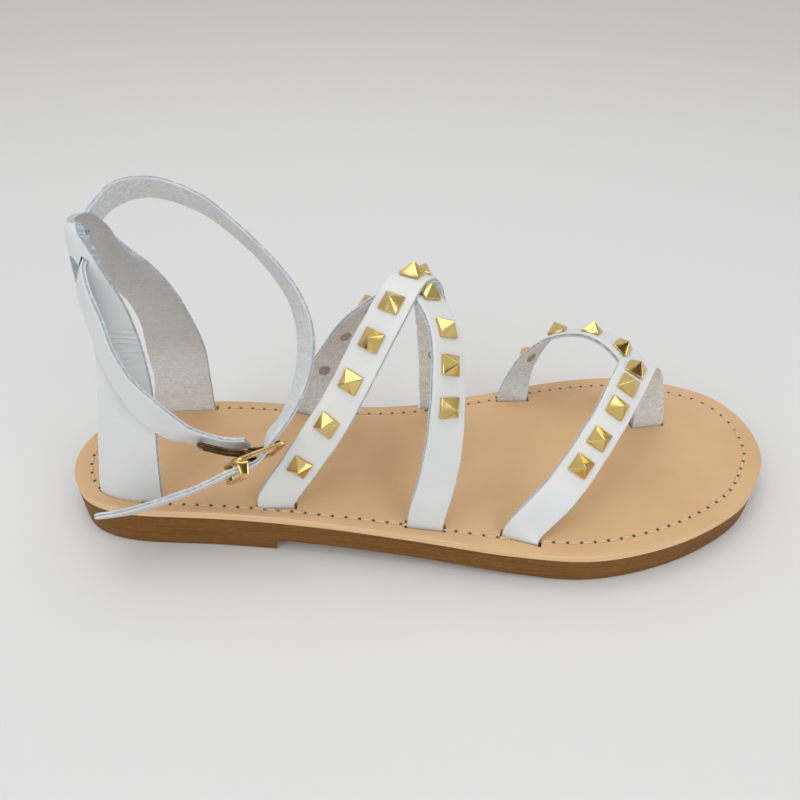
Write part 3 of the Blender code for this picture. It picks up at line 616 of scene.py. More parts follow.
def tan_insole():
    """Tan upper side: pores, slow cloudy tone, dark thread holes along the seam and a dull gloss."""
    tree = Finish("tan_insole_leather")
    pores = tree.group(PORES, 2100.0)
    base = tree.mix(tree.span(pores["Tone"], 0.28, 0.72), (0.70, 0.452, 0.238), (0.645, 0.408, 0.205))
    run = tree.run()
    step = tree.sum("MULTIPLY", tree.sum("PINGPONG", run[0], 0.5), SEAM_PITCH)
    off = tree.sum("SUBTRACT", run[1], ON_SEAM)
    reach = tree.sum("SQRT", tree.sum("MULTIPLY_ADD", step, step, tree.sum("MULTIPLY", off, off)))
    hole = tree.span(reach, 0.35, 0.75, 1.0, 0.0)
    groove = tree.span(tree.sum("ABSOLUTE", off), 0.2, 0.85, 0.16, 0.0)
    colour = tree.mix(groove, base, (0.36, 0.19, 0.09))
    colour = tree.mix(hole, colour, (0.075, 0.036, 0.016))
    gloss = tree.span(pores["Tone"], 0.25, 0.75, 0.44, 0.56)
    return tree.dress(colour, gloss, pores["Height"], 0.00014, 0.3)


def brown_rubber():
    """Brown outsole: level trimming lines, small flecks and a dull waxed edge."""
    tree = Finish("brown_outsole", 0.6, Specular_IOR_Level=0.12)
    layers = tree.group(LAYERS, 1500.0)
    base = tree.mix(layers["Line"], (0.15, 0.064, 0.012), (0.24, 0.11, 0.026))
    colour = tree.mix(tree.sum("MULTIPLY", layers["Spot"], 0.35), base, (0.31, 0.165, 0.062))
    return tree.dress(colour, tree.span(layers["Line"], 0.0, 1.0, 0.48, 0.66), layers["Line"], 0.00022, 0.5)


def plated_metal(name, bright, deep, smooth, rough, metallic=1.0):
    """Plated metal: two tones in slow patches, fine rubbing marks in the gloss and faint unevenness."""
    tree = Finish(name, 0.2, metallic)
    place = tree.place()
    slow = tree.noise(place, 260.0, 2.0, 0.5)
    fine = tree.noise(place, 2400.0, 3.0, 0.6)
    colour = tree.mix(tree.span(slow, 0.3, 0.7), bright, deep)
    return tree.dress(colour, tree.span(fine, 0.3, 0.7, smooth, rough), slow, 0.0002, 0.12)


def tan_thread():
    """Waxed tan thread: slanting ply lines from the run along each stitch."""
    tree = Finish("tan_thread", 0.6)
    run = tree.run()
    slant = tree.sum("MULTIPLY_ADD", run[1], 1.0, tree.sum("MULTIPLY", run[0], 7.5))
    ply = tree.sum("MULTIPLY_ADD", tree.sum("SINE", slant), 0.5, 0.5)
    colour = tree.mix(ply, (0.62, 0.42, 0.25), (0.80, 0.59, 0.37))
    return tree.dress(colour, None, ply, 0.0001, 0.6)


def pale_fibre():
    """Loose leather fibre: pale blue-grey, a little lighter or darker from place to place."""
    tree = Finish("pale_fibre", 0.9)
    share = tree.span(tree.noise(tree.place(), 90.0), 0.35, 0.65)
    colour = tree.mix(share, (0.72, 0.75, 0.775), (0.58, 0.63, 0.675))
    return tree.dress(colour)


WHITE = white_grain()
FLESH = grey_flesh("grey_flesh_side", (0.56, 0.585, 0.60), (0.79, 0.82, 0.835))
# the last value is the share of painted shade that darkens the counter's flesh side towards the top
PALE_FLESH = grey_flesh("pale_flesh_side", (0.62, 0.65, 0.67), (0.81, 0.84, 0.86), 0.5)
EDGE = cut_layers("blue_grey_cut_edge", 0.85, 2600.0,
                  ((0.30, 0.36, 0.42), (0.45, 0.505, 0.555), (0.68, 0.71, 0.735)), "Spot", 0.0003, 0.6)
TAN = tan_insole()
TAN_EDGE = cut_layers("tan_raw_edge", 0.75, 2400.0,
                      ((0.76, 0.50, 0.265), (0.92, 0.64, 0.365), (0.82, 0.56, 0.31)), "Line", 0.0002, 0.5)
BROWN = brown_rubber()
GOLD = plated_metal("gold_plate", (0.76, 0.575, 0.225), (0.69, 0.505, 0.175), 0.08, 0.2)
# painted shade and reflection: two darker copies of the buckle's gold for parts that mirror dark
# surroundings, the first for the front loop, the second for the rear loop, bar and prong
SHADED_GOLD = plated_metal("shaded_gold_plate", (0.84, 0.57, 0.24), (0.52, 0.32, 0.12), 0.16, 0.32)
DARK_SHADED_GOLD = plated_metal("dark_shaded_gold_plate", (0.13, 0.088, 0.043), (0.05, 0.033, 0.017), 0.14, 0.28)
DULL = plated_metal("dull_rivet_metal", (0.44, 0.425, 0.40), (0.33, 0.315, 0.295), 0.45, 0.6, 0.25)
THREAD = tan_thread()
FIBRE = pale_fibre()


# Sole

def joint_height(x):
    """Height of the joint between outsole and insole: level at the heel, easing down to the ball."""
    return JOINT_HEIGHT - JOINT_DROP * ease(x, *JOINT_SLOPE)


def outline_halves():
    """Outer and inner half of the plan outline, each from heel tip to toe tip, smooth through the table."""
    inner = [(x, y) for x, y, _ in OUTLINE]
    outer = [(x, y) for x, _, y in OUTLINE]
    loop = [HEEL_TIP, *outer, TOE_TIP, *reversed(inner)]
    samples = 40
    wrapped = smooth_path([*loop[-2:], *loop, *loop[:3]], samples)
    start = 2 * samples
    toe = start + samples * (len(outer) + 1)
    end = start + samples * len(loop)
    return wrapped[start:toe + 1], wrapped[toe:end + 1][::-1]


OUTER_HALF, INNER_HALF = outline_halves()


def paired_stations(counts):
    """Both halves cut at the heel breast and evenly spaced in each stretch, so that stations pair up."""
    tip_points = 20
    halves = []
    for half in (OUTER_HALF, INNER_HALF):
        cut = np.searchsorted(half[tip_points:-tip_points, 0], BREAST_X) + tip_points
        share = (BREAST_X - half[cut - 1, 0]) / (half[cut, 0] - half[cut - 1, 0])
        breast = half[cut - 1] + share * (half[cut] - half[cut - 1])
        heel = along_line(np.vstack((half[:cut], breast)), counts[0])
        front = along_line(np.vstack((breast, half[cut:])), counts[1])
        halves.append(np.vstack((heel, front[1:])))
    return halves


def inward(outer, inner):
    """Unit directions from both edge lines into the sole: each run turned a quarter, shared at the tips."""
    outer_run, inner_run = unit(np.gradient(outer, axis=0)), unit(np.gradient(inner, axis=0))
    into_outer = np.stack((-outer_run[:, 1], outer_run[:, 0]), axis=-1)
    into_inner = np.stack((inner_run[:, 1], -inner_run[:, 0]), axis=-1)
    tips = unit(into_outer[[0, -1]] + into_inner[[0, -1]])
    into_outer[[0, -1]] = tips
    into_inner[[0, -1]] = tips
    return into_outer, into_inner


def make_outsole():
    """Outsole: at each station one closed ring over the top, down the inner wall, back under and up."""
    outer, inner = paired_stations(OUTSOLE_STATIONS)
    breast = OUTSOLE_STATIONS[0] - 1
    repeat = np.insert(np.arange(len(outer)), breast + 1, breast)
    outer, inner = outer[repeat], inner[repeat]
    outer[breast + 1, 0] += BREAST_LEAN
    inner[breast + 1, 0] += BREAST_LEAN
    into_outer, into_inner = inward(outer, inner)
    middle_x = 0.5 * (outer[:, 0] + inner[:, 0])
    top = joint_height(middle_x)
    low = np.interp(middle_x, *np.array(TREAD).T)
    low[:breast + 1] = 0.0
    wall = np.array((1.0, 0.93, 0.8, 0.6, 0.4, 0.22, 0.1, 0.035, 0.0))
    inset = np.array((0.12, 0.0, 0.0, 0.0, 0.0, 0.0, 0.05, 0.25, 0.7))
    across = np.linspace(0.0, 1.0, 12)[1:-1]
    outer_wall = outer[:, None] + into_outer[:, None] * inset[None, :, None]
    inner_wall = inner[:, None] + into_inner[:, None] * inset[None, :, None]
    level = low[:, None] + (top - low)[:, None] * wall

    def crossing(first, second, height):
        """Level rows from one wall to the other."""
        flat = between(first, second, across)
        return np.dstack((flat, np.broadcast_to(height[:, None], flat.shape[:2])))

    rings = np.concatenate((
        crossing(outer_wall[:, 0], inner_wall[:, 0], top),
        np.dstack((inner_wall, level)),
        crossing(inner_wall[:, -1], outer_wall[:, -1], low),
        np.dstack((outer_wall, level))[:, ::-1],
    ), axis=1)
    faces = grid_faces(*rings.shape[:2], closed=True)
    mesh = weld(fill_mesh("outsole_block", rings, [(faces, 0)], (BROWN,)))
    return add_piece("outsole_block", mesh, ("outsole",))


def seam_inset(line, column):
    """Inset of the seam at each point of an edge line."""
    return np.interp(line[:, 0], [row[0] for row in SEAM], [row[column] for row in SEAM])


def slot_box(key):
    """Closed box through the insole, long along its slot."""
    x, y, turn = SLOTS[key]
    depth = STRAP_THICKNESS + 2 * SLOT_CLEARANCE + (2 * POST_HALF_PITCH if key == "post" else 0.0)
    angle = math.radians(turn)
    long = np.array((math.cos(angle), math.sin(angle), 0.0)) * (STRAP_WIDTH / 2 + SLOT_CLEARANCE)
    wide = np.array((-math.sin(angle), math.cos(angle), 0.0)) * depth / 2
    floor, roof = (np.array((x, y, height)) for height in SLOT_CUT)
    base = np.array((-long - wide, long - wide, long + wide, -long + wide))
    faces = np.array(((3, 2, 1, 0), (4, 5, 6, 7), (0, 1, 5, 4), (1, 2, 6, 5), (2, 3, 7, 6), (3, 0, 4, 7)))
    return fill_mesh(f"slot_{key}", np.vstack((base + floor, base + roof)), [(faces, 1)], (TAN, TAN_EDGE))


def make_insole():
    """Insole: on each side rows run from a spine out to the seam groove, round the rim and back under."""
    outer, inner = paired_stations(INSOLE_STATIONS)
    share = 0.5 * (outer[:, 0] + inner[:, 0]) / TOE_TIP[0]
    spine_x = SPINE[0] + SPINE[1] * share
    middle = np.stack([np.interp(spine_x, half[:, 0], half[:, 1]) for half in (OUTER_HALF, INNER_HALF)])
    spine = np.stack((spine_x, middle.mean(axis=0)), axis=-1)
    fill = np.linspace(0.0, 1.0, 18, endpoint=False)
    groove = np.array((1.4, 1.0, 0.7, 0.45, 0.22, 0.0, -0.22, -0.45, -0.7, -1.0))
    rim = np.array((1.5, 1.0, 0.65, 0.35, 0.12, 0.0))
    wall = np.array((0.62, 0.4, 0.2, 0.06))
    hill, breadth = INSOLE_HILLS
    grids, marks, blocks, seams = [], [], [], []
    for number, (line, into) in enumerate(zip((outer, inner), inward(outer, inner))):
        inset = seam_inset(line, number + 1)
        depth = np.hstack((inset[:, None] + groove, np.broadcast_to(rim, (len(line), len(rim)))))
        edge = line[:, None] + into[:, None] * depth[..., None]
        upper = np.concatenate((between(spine, edge[:, 0], fill), edge), axis=1)
        depth = np.hstack((np.full((len(line), len(fill)), OFF_SEAM), depth))
        off = depth - inset[:, None]
        outward = np.clip(RIM_RADIUS - depth, 0.0, RIM_RADIUS)
        rounding = RIM_RADIUS - np.sqrt(np.maximum(RIM_RADIUS ** 2 - outward ** 2, 0.0))
        groove_dip = GROOVE_DEPTH * np.exp(-(off / GROOVE_WIDTH) ** 2)
        height = joint_height(upper[..., 0]) + INSOLE_THICKNESS - groove_dip - rounding
        height += hill * uneven(upper[..., 0] / breadth, upper[..., 1] / breadth, seed=5)
        foot = joint_height(line[:, 0])
        sides = np.broadcast_to(line[:, None], (len(line), len(wall), 2))
        side_z = foot[:, None] + GAP + wall * (INSOLE_THICKNESS - GAP)
        under = between(line, spine, np.linspace(0.0, 1.0, 8))
        under_z = joint_height(under[..., 0]) + GAP
        layers = ((upper, height), (sides, side_z), (under, under_z))
        grid = np.concatenate([np.dstack(layer) for layer in layers], axis=1)
        seam = line + into * inset[:, None]
        place = reach_along(seam)
        count = round(place[-1] / SEAM_PITCH)
        place = place / place[-1] * count
        run = np.zeros(grid.shape)
        run[..., 0] = place[:, None]
        run[..., 1] = OFF_SEAM
        run[:, :off.shape[1], 1] = np.clip(off, -8.0, 8.0) + ON_SEAM
        rows, columns = grid.shape[:2]
        faces = grid_faces(rows, columns) + number * rows * columns
        kinds = np.zeros(faces.shape[:2], int)
        kinds[:, upper.shape[1] - 2:] = 1
        if number == 0:
            faces = faces[..., ::-1]
        grids.append(grid.reshape(-1, 3))
        marks.append(run.reshape(-1, 3))
        blocks.append((faces, kinds))
        seams.append((seam, place, count))
    mesh = weld(fill_mesh("insole_layer", np.vstack(grids), blocks, (TAN, TAN_EDGE), np.vstack(marks)))
    cutters = [slot_box(key) for key in SLOTS]
    slot = counter_mesh("counter_slot", 16, GAP, foot_only=True)
    cutters.append(cut_mesh(slot, opening_mesh("slot_end", 1.0)))
    mesh = cut_mesh(mesh, *cutters)
    add_piece("insole_layer", mesh, ("insole",))
    return seams


def make_stitches(seams):
    """Seam thread: each stitch is a round profile along a low arch between two holes, thin at its ends."""
    part = np.linspace(0.0, 1.0, 9)
    ends = np.abs(2 * part - 1)
    turn = full_turn(8)
    start, length = STITCH_SPAN
    points, marks = [], []
    for line, place, count in seams:
        at = np.arange(count)[:, None] + start + length * part
        x, y = (np.interp(at, place, line[:, k]) for k in (0, 1))
        rise = STITCH_ARCH - STITCH_DROP * ends ** 3
        z = joint_height(x) + INSOLE_THICKNESS - STITCH_SUNK + rise
        middle = np.dstack((x, y, z))
        along = unit(np.gradient(middle, axis=1))
        side = unit(np.cross(along, (0.0, 0.0, 1.0)))
        up = STITCH_FLATNESS * np.cross(side, along)
        radius = (STITCH_RADIUS * (1.0 - STITCH_TAPER * ends ** 4))[None, :, None, None]
        ring = side[:, :, None] * np.cos(turn)[:, None] + up[:, :, None] * np.sin(turn)[:, None]
        points.append((middle[:, :, None] + radius * ring).reshape(-1, len(part) * len(turn), 3))
        run = np.zeros((count, len(part), len(turn), 3))
        run[..., 0] = (at * SEAM_PITCH)[..., None]
        run[..., 1] = turn
        marks.append(run.reshape(-1, 3))
    points = np.concatenate(points)
    starts = np.arange(len(points)) * points.shape[1]
    blocks = tube_blocks(len(part), len(turn), starts=starts)
    mesh = fill_mesh("seam_stitches", points, blocks, (THREAD,), np.concatenate(marks))
    return add_piece("seam_stitches", mesh, sharp=80.0)


# Heel counter

def counter_mesh(name, samples, grow=0.0, foot_only=False):
    """Bent wall: each height is a U, round at the top and squarer at the foot, set in by its thickness."""
    if foot_only:
        base = np.array(COUNTER[0])
        rows = np.array((base, base))
        inner_room, outer_room = COUNTER_SLOT_ROOM
        rows[:, 0] += (-COUNTER_SLOT_REACH, COUNTER_SLOT_REACH)
        rows[:, 1:5] += (-grow, grow + inner_room, grow + outer_room, grow)
    else:
        rows = smooth_path(COUNTER, samples)
    z, back, inner_front, outer_front, half, middle = (column[:, None] for column in rows.T)
    depth = np.minimum(half, 0.5 * (inner_front + outer_front) - back)
    bend = np.linspace(-math.pi / 2, math.pi / 2, 121)
    square = FOOT_SQUARENESS + (1.0 - FOOT_SQUARENESS) * ease(z, *ROUND_FROM)
    side = np.sign(np.sin(bend)) * np.abs(np.sin(bend)) ** square
    x = np.hstack((outer_front, back + depth * (1.0 - np.cos(bend)), inner_front))
    y = np.hstack((middle - half, middle + half * side, middle + half))
    outside = np.array([along_line(np.stack((p, q, np.full(len(p), h)), axis=-1), COUNTER_POINTS)
                        for p, q, h in zip(x, y, z[:, 0])])
    normal = unit(np.cross(np.gradient(outside, axis=0), np.gradient(outside, axis=1)))
    lean = ease(outside[..., 2:], *LEAN_FROM)
    normal = unit(normal * (1 - lean) + np.array((-1.0, 0.0, 0.0)) * lean)
    wall = COUNTER_THICKNESS + 2 * grow
    inside = outside - wall * normal
    if not foot_only:
        outside = outside + normal * counter_marks(outside)[..., None]
        hill, breadth = COUNTER_HILLS
        hills = uneven(outside[..., 1] / breadth, outside[..., 2] / breadth, seed=9)
        inside = inside + normal * hill * hills[..., None]
    rings = np.concatenate((outside, inside[:, ::-1]), axis=1)
    count, around = rings.shape[:2]
    faces = grid_faces(count, around, closed=True)
    kinds = np.full(faces.shape[:2], 1)
    kinds[:, :COUNTER_POINTS - 1] = 0
    kinds[:, COUNTER_POINTS:-1] = 2
    first = np.arange(COUNTER_POINTS - 1)
    second = around - 1 - first
    cap = np.stack((first, second, second - 1, first + 1), axis=-1)
    top = cap + (count - 1) * around
    if foot_only:
        kinds[:] = 1
    materials = (TAN, TAN_EDGE) if foot_only else (WHITE, EDGE, PALE_FLESH)
    return fill_mesh(name, rings, [(faces, kinds), (top, 1), (cap[:, ::-1], 1)], materials)


def opening_mesh(name, back=0.0):
    """Body that opens the back: level four-cornered rings that end on the line between both back edges."""
    z, outer, inner = smooth_path(COUNTER_OPENING, 5).T
    table = np.array(COUNTER)
    half, middle = (np.interp(z, table[:, 0], table[:, column]) for column in (4, 5))
    beyond = 10.0
    slope = beyond * (inner - outer) / (2 * half)
    behind = np.full(len(z), -25.0)
    x = np.stack((outer - slope, inner + slope, behind, behind), axis=-1) - back
    y = middle[:, None] + (half + beyond)[:, None] * np.array((-1.0, 1.0, 1.0, -1.0))
    rings = np.stack((x, y, np.repeat(z[:, None], 4, axis=1)), axis=-1)
    return fill_mesh(name, rings, tube_blocks(len(z), 4, 1, 1, 1, turned=True), (WHITE, EDGE, PALE_FLESH))


def oval_mesh(name, middle, halves):
    """Oval body for cutting: level rings from pole to pole, each as wide as the cosine of its height."""
    rows, columns = 15, 24
    rise = np.radians(np.linspace(-84.0, 84.0, rows))[:, None]
    turn = full_turn(columns)
    level = np.cos(rise)
    ball = np.stack((level * np.cos(turn), level * np.sin(turn), np.sin(rise) * np.ones(columns)), axis=-1)
    blocks = tube_blocks(rows, columns, 1, 1, 1, turned=True)
    return fill_mesh(name, np.array(middle) + ball * np.array(halves), blocks, (WHITE, EDGE, PALE_FLESH))


def counter_marks(points):
    """Low relief on the counter's outside: soft unevenness and a few level creases on the outer panel."""
    x, y, z = np.moveaxis(points, -1, 0)
    relief = 0.12 * uneven(y / 9.0 + x / 13.0, z / 8.0, seed=3)
    panel = ease(-y, *PANEL_FROM)
    rise, wave = CREASE_BOW
    for height, middle, half, deep in CREASES:
        bow = height + rise * np.sin((x - middle + height) / wave)
        line, ends = np.exp(-((z - bow) / CREASE_WIDTH) ** 2), np.exp(-((x - middle) / half) ** 4)
        relief = relief - panel * deep * line * ends
    return relief


# Straps

def slot_rows(key, side, shift=0.0):
    """Two upright rows in a slot, from its floor to just over the insole."""
    x, y, turn = SLOTS[key]
    angle = math.radians(turn)
    face = (math.sin(angle) * -side, math.cos(angle) * side, 0.0)
    x += face[0] * shift
    y += face[1] * shift
    joint = float(joint_height(x))
    return ((x, y, joint + 2 * GAP, *face), (x, y, joint + INSOLE_THICKNESS + SLOT_RISE, *face))


def strap_band(first, rows, last, first_side, last_side, last_shift=0.0):
    """A band from one slot over its rows and down into another."""
    return Band((*slot_rows(first, first_side), *rows, *reversed(slot_rows(last, last_side, last_shift))))


def buckle_point(forward, outward, across=0.0):
    """Table point at distances from the middle of the buckle's bar, single values or arrays."""
    forward, outward, across = (np.asarray(v, float)[..., None] for v in (forward, outward, across))
    return BUCKLE_MIDDLE + forward * BUCKLE_FORWARD + outward * BUCKLE_OUTWARD + across * BUCKLE_SIDEWAYS


def strap_section(width, thickness):
    """Ring of a strap and its finishes: crowned smooth side, rolled corners, cut edges, flat flesh side."""
    half, deep, roll = width / 2, thickness / 2, EDGE_ROLL
    shoulder, foot = deep - CROWN, half - FLESH_CORNER[0]
    core, corner = CORE_TOP - deep, FLESH_CORNER[1] - deep
    top = np.linspace(1.0, -1.0, 19)
    crown = CROWN * (1.0 - top ** 4)
    arc = np.radians((30.0, 60.0))
    under = np.linspace(-foot, foot, 13)[1:-1]
    w = [top * (half - roll), -(half - roll) - roll * np.sin(arc), (-half, -half, -half, -foot),
         under, (foot, half, half, half), (half - roll) + roll * np.sin(arc[::-1])]
    n = [shoulder + crown, shoulder - roll * (1 - np.cos(arc)), (shoulder - roll, core, corner, -deep),
         np.full(len(under), -deep), (-deep, corner, core, shoulder - roll),
         shoulder - roll * (1 - np.cos(arc[::-1]))]
    smooth, edge, flesh, fibre = range(4)
    kinds = np.repeat((smooth, edge, fibre, flesh, fibre, edge, smooth), (21, 1, 2, 12, 2, 1, 3))
    return np.concatenate(w), np.concatenate(n), kinds


def strap_mesh(name, band, width, thickness, seed=0, start=0.0, end=None, rounded=0.0, kind=None):
    """Strap: its ring carried along the band, edges wandering a little, the last end rounded if asked."""
    end = band.length[-1] if end is None else end
    distances = np.linspace(start, end, int((end - start) / STRAP_STEP) + 1)
    narrow = np.ones(len(distances))
    if rounded:
        tip = end - rounded * (1.0 - np.sin(np.radians(np.linspace(0.0, 86.0, 16))))
        distances = np.concatenate((distances[distances < end - rounded - 0.3], tip))
        narrow = np.sqrt(1.0 - np.clip((distances - end + rounded) / rounded, 0.0, 1.0) ** 2)
    middle, along, face, across = band.at(distances)
    w, n, kinds = strap_section(width, thickness)
    wander = 0.0 if kind is not None else 1.0
    (wide, wave), (deep, ripple) = EDGE_WAVES, FLESH_WAVES
    at_edge = np.abs(w) > width / 2 - 1.5 * EDGE_ROLL
    lane = np.sign(w) * 3.3 + 7.0
    edge = uneven(distances[:, None] / wave, lane, seed) * at_edge
    w = np.sign(w) * (np.abs(w) + wander * wide * edge) * narrow[:, None]
    n = n + wander * deep * uneven(distances[:, None] / ripple, w / ripple, seed + 1) * (n < 0)
    rings = middle[:, None] + across[:, None] * w[..., None] + face[:, None] * n[..., None]
    blocks = tube_blocks(*rings.shape[:2], kinds if kind is None else kind, 1, 1)
    return fill_mesh(name, rings, blocks, (WHITE, EDGE, FLESH, FIBRE))


def make_fibres(bands):
    """Loose fibres on the cut edges: thin three-sided tapers from random places, bent as they leave."""
    chance = np.random.default_rng(FIBRE_SEED)
    part = np.array((0.0, 0.5, 1.0))[:, None, None]
    turn = np.radians((0.0, 120.0, 240.0))
    number, stretch = FIBRE_COUNT
    shortest, added = FIBRE_LENGTHS
    points = []
    for band, width, thickness, first, last, sides in bands:
        total = int(number * (last - first) / stretch) * len(sides)
        middle, along, face, across = band.at(chance.uniform(first, last, total))
        side = chance.choice(sides, (total, 1))
        root = middle + across * side * (width / 2 - FIBRE_ROOT)
        root = root + face * thickness * chance.uniform(-0.5, 0.3, (total, 1))
        lean, rise = chance.uniform(-0.9, 0.9, (2, total, 1))
        way = unit(across * side + along * lean + face * (0.7 * rise - 0.25))
        reach = shortest + added * chance.random((total, 1)) ** 2
        bend = np.cross(way, face) * chance.uniform(-0.5, 0.5, (total, 1)) * reach
        line = root + way * reach * part + bend * part ** 2
        other = unit(np.cross(way, along + 0.3 * face))
        third = np.cross(way, other)
        ring = other[:, None] * np.cos(turn)[:, None] + third[:, None] * np.sin(turn)[:, None]
        taper = FIBRE_RADIUS * (1.0 - FIBRE_TAPER * part[..., None])
        points.append((line[:, :, None] + ring * taper).transpose(1, 0, 2, 3))
    points = np.concatenate(points)
    blocks = tube_blocks(3, 3, starts=np.arange(len(points)) * 9, turned=True)
    mesh = fill_mesh("loose_edge_fibres", points, blocks, (FIBRE,))
    return add_piece("loose_edge_fibres", mesh, sharp=80.0)


# Studs

def square_ring(half, corner, height):
    """Sixteen points round a square: each softened corner a short arc, each side one middle point."""
    quarter = np.radians(np.arange(4) * 90.0)
    arc = np.radians((0.0, 45.0, 90.0))
    flat = half - corner
    local_x = np.concatenate((flat + corner * np.cos(arc), (0.0,)))
    local_y = np.concatenate((flat + corner * np.sin(arc), (half,)))
    x = local_x * np.cos(quarter)[:, None] - local_y * np.sin(quarter)[:, None]
    y = local_x * np.sin(quarter)[:, None] + local_y * np.cos(quarter)[:, None]
    return np.stack((x.ravel(), y.ravel(), np.full(16, height)), axis=-1)


def round_ring(radius, height):
    """Sixteen points round a circle, in step with the square's."""
    angle = np.radians((np.arange(4) * 90.0)[:, None] + np.array((20.0, 45.0, 70.0, 90.0))).ravel()
    return np.stack((radius * np.cos(angle), radius * np.sin(angle), np.full(16, height)), axis=-1)


def stud_points(backed):
    """Pyramid stud as a stack of rings from its blunt point over the rim to a domed rivet back."""
    half, low = STUD_SIDE / 2, STUD_RIM
    share = np.array((0.035, 0.08, 0.15, 0.4, 0.7, 0.93, 0.97))
    fall = (STUD_HEIGHT - low) * np.array((0.036, *share[1:]))
    rings = [square_ring(half * s, min(0.2, 0.3 * half * s), STUD_HEIGHT - f) for s, f in zip(share, fall)]
    rim = ((half, 0.3, low - 0.12), (half, 0.3, 0.12), (half - 0.12, 0.2, -0.05))
    rings += [square_ring(*place) for place in rim]
    if backed:
        shank = ((1.0, -0.05), (1.0, -STRAP_THICKNESS - 0.02))
        dome = ((1.0, 0.02), (1.0, 0.2), (0.86, 0.48), (0.45, 0.66))
        rings += [round_ring(*place) for place in shank]
        rings += [round_ring(RIVET_RADIUS * share, -STRAP_THICKNESS - drop) for share, drop in dome]
    return np.array(rings)


def make_studs(key, band):
    """All studs of one strap in one piece: the stack of rings set on the smooth side at each distance."""
    blocks, points, start = [], [], 0
    for backed in (1, 0):
        chosen = [distance for distance, back in STUDS[key] if back == backed]
        if not chosen:
            continue
        stack = stud_points(backed)
        middle, along, face, _ = band.at(np.array(chosen, float))
        base = middle + face * STRAP_THICKNESS / 2
        axes = np.stack((along, np.cross(face, along), face), axis=1)
        local = stack.reshape(-1, 3)
        placed = base[:, None] + np.einsum("vk,skd->svd", local, axes)
        levels, around = stack.shape[:2]
        starts = start + np.arange(len(chosen)) * levels * around
        kinds = (np.arange(levels - 1) > FRONT_RINGS).astype(int)[:, None]
        blocks += tube_blocks(levels, around, kinds, 0, backed, starts)
        points.append(placed.reshape(-1, 3))
        start += len(points[-1])
    mesh = fill_mesh(f"studs_{key}", np.vstack(points), blocks, (GOLD, DULL))
    nodes = [f"stud_{key}_{number:02d}" for number in range(1, len(STUDS[key]) + 1)]
    return add_piece(f"studs_{key}", mesh, nodes, sharp=24.0)


# Buckle

def rod_mesh(name, path, radii, reference, material, closed=True, flat=1.0, sides=16):
    """Rod: a ring of two radii along a path, square to it and a reference way, boxier as flat falls."""
    along = np.gradient(path, axis=0)
    if closed:
        along = np.roll(path, -1, axis=0) - np.roll(path, 1, axis=0)
    along = unit(along)
    side = unit(np.cross(along, reference))
    up = np.cross(side, along)
    turn = full_turn(sides)
    a, b = (np.sign(wave) * np.abs(wave) ** flat for wave in (np.cos(turn), np.sin(turn)))
    radii = np.broadcast_to(np.asarray(radii, float), (len(path), 2))
    wide, tall = radii[:, None, :1], radii[:, None, 1:]
    rings = path[:, None] + (side[:, None] * a[:, None] * wide + up[:, None] * b[:, None] * tall)
    blocks = tube_blocks(len(path), sides)
    if closed:
        index = np.arange(sides)
        after = np.roll(index, -1)
        last = (len(path) - 1) * sides
        blocks[1:] = [(np.stack((index + last, index, after, after + last), axis=-1), 0)]
    return fill_mesh(name, rings, blocks, (material,))


def rounded_loop(corners, count, spread):
    """Closed path through straight-line corners, each corner rounded by averaging along the path."""
    loop = buckle_point(*np.array((*corners, corners[0])).T)
    path = along_line(loop, count + 1)[:-1]
    return sum(np.roll(path, shift, axis=0) for shift in range(-spread, spread + 1)) / (2 * spread + 1)


def make_buckle():
    """Gold buckle: front loop with bar and prong, keeper round the free strap, and the rear loop."""
    front = rounded_loop(FRONT_LOOP, 240, 7)
    rearward = ease((front - BUCKLE_MIDDLE) @ BUCKLE_FORWARD, -6.0, 12.0)
    nearer = ease(-(front - BUCKLE_MIDDLE) @ BUCKLE_SIDEWAYS, -2.0, 6.0)
    swell = np.stack((0.75 + 0.25 * nearer, 0.6 + 0.45 * nearer * (1.0 - rearward)), axis=-1)
    keeper = rounded_loop(KEEPER_LOOP, 200, 5)
    lower = ease((keeper - BUCKLE_MIDDLE) @ BUCKLE_OUTWARD, 2.5, 7.0)
    wide = np.stack((np.full(len(keeper), 0.45), 1.75 - 0.5 * lower), axis=-1)
    rear = rounded_loop(REAR_LOOP, 240, 8)
    bar = along_line(buckle_point(*np.array(CENTRE_BAR).T), 24)
    hook = smooth_path([tuple(buckle_point(*place)) for place in PRONG_PATH], 8)
    part = np.linspace(0.0, 1.0, len(hook))
    thick = np.stack((0.6 - 0.15 * ease(part, 0.6, 1.0), 0.95 - 0.45 * ease(part, 0.45, 1.0)), axis=-1)
    # the front loop, rear loop, bar and prong take the darker copies of gold as painted shade and
    # reflection; the keeper takes the plain gold
    for name, nodes, sharp, rod in (
            ("front_loop", ("buckle_frame",), 60.0, (front, swell, BUCKLE_OUTWARD, SHADED_GOLD, True, 0.7)),
            ("keeper_loop", (), 40.0, (keeper, wide, BUCKLE_FORWARD, GOLD, True, 0.4)),
            ("rear_loop", (), 60.0, (rear, (0.8, 0.85), BUCKLE_OUTWARD, DARK_SHADED_GOLD, True, 0.8)),
            ("centre_bar", (), 60.0, (bar, (0.7, 0.7), BUCKLE_OUTWARD, DARK_SHADED_GOLD, False)),
            ("prong_hook", ("buckle_prong",), 60.0, (hook, thick, BUCKLE_SIDEWAYS, DARK_SHADED_GOLD, False, 0.8))):
        add_piece(f"buckle_{name}", rod_mesh(f"buckle_{name}", *rod), nodes, sharp)


# Making

make_outsole()
SEAM_LINES = make_insole()
make_stitches(SEAM_LINES)

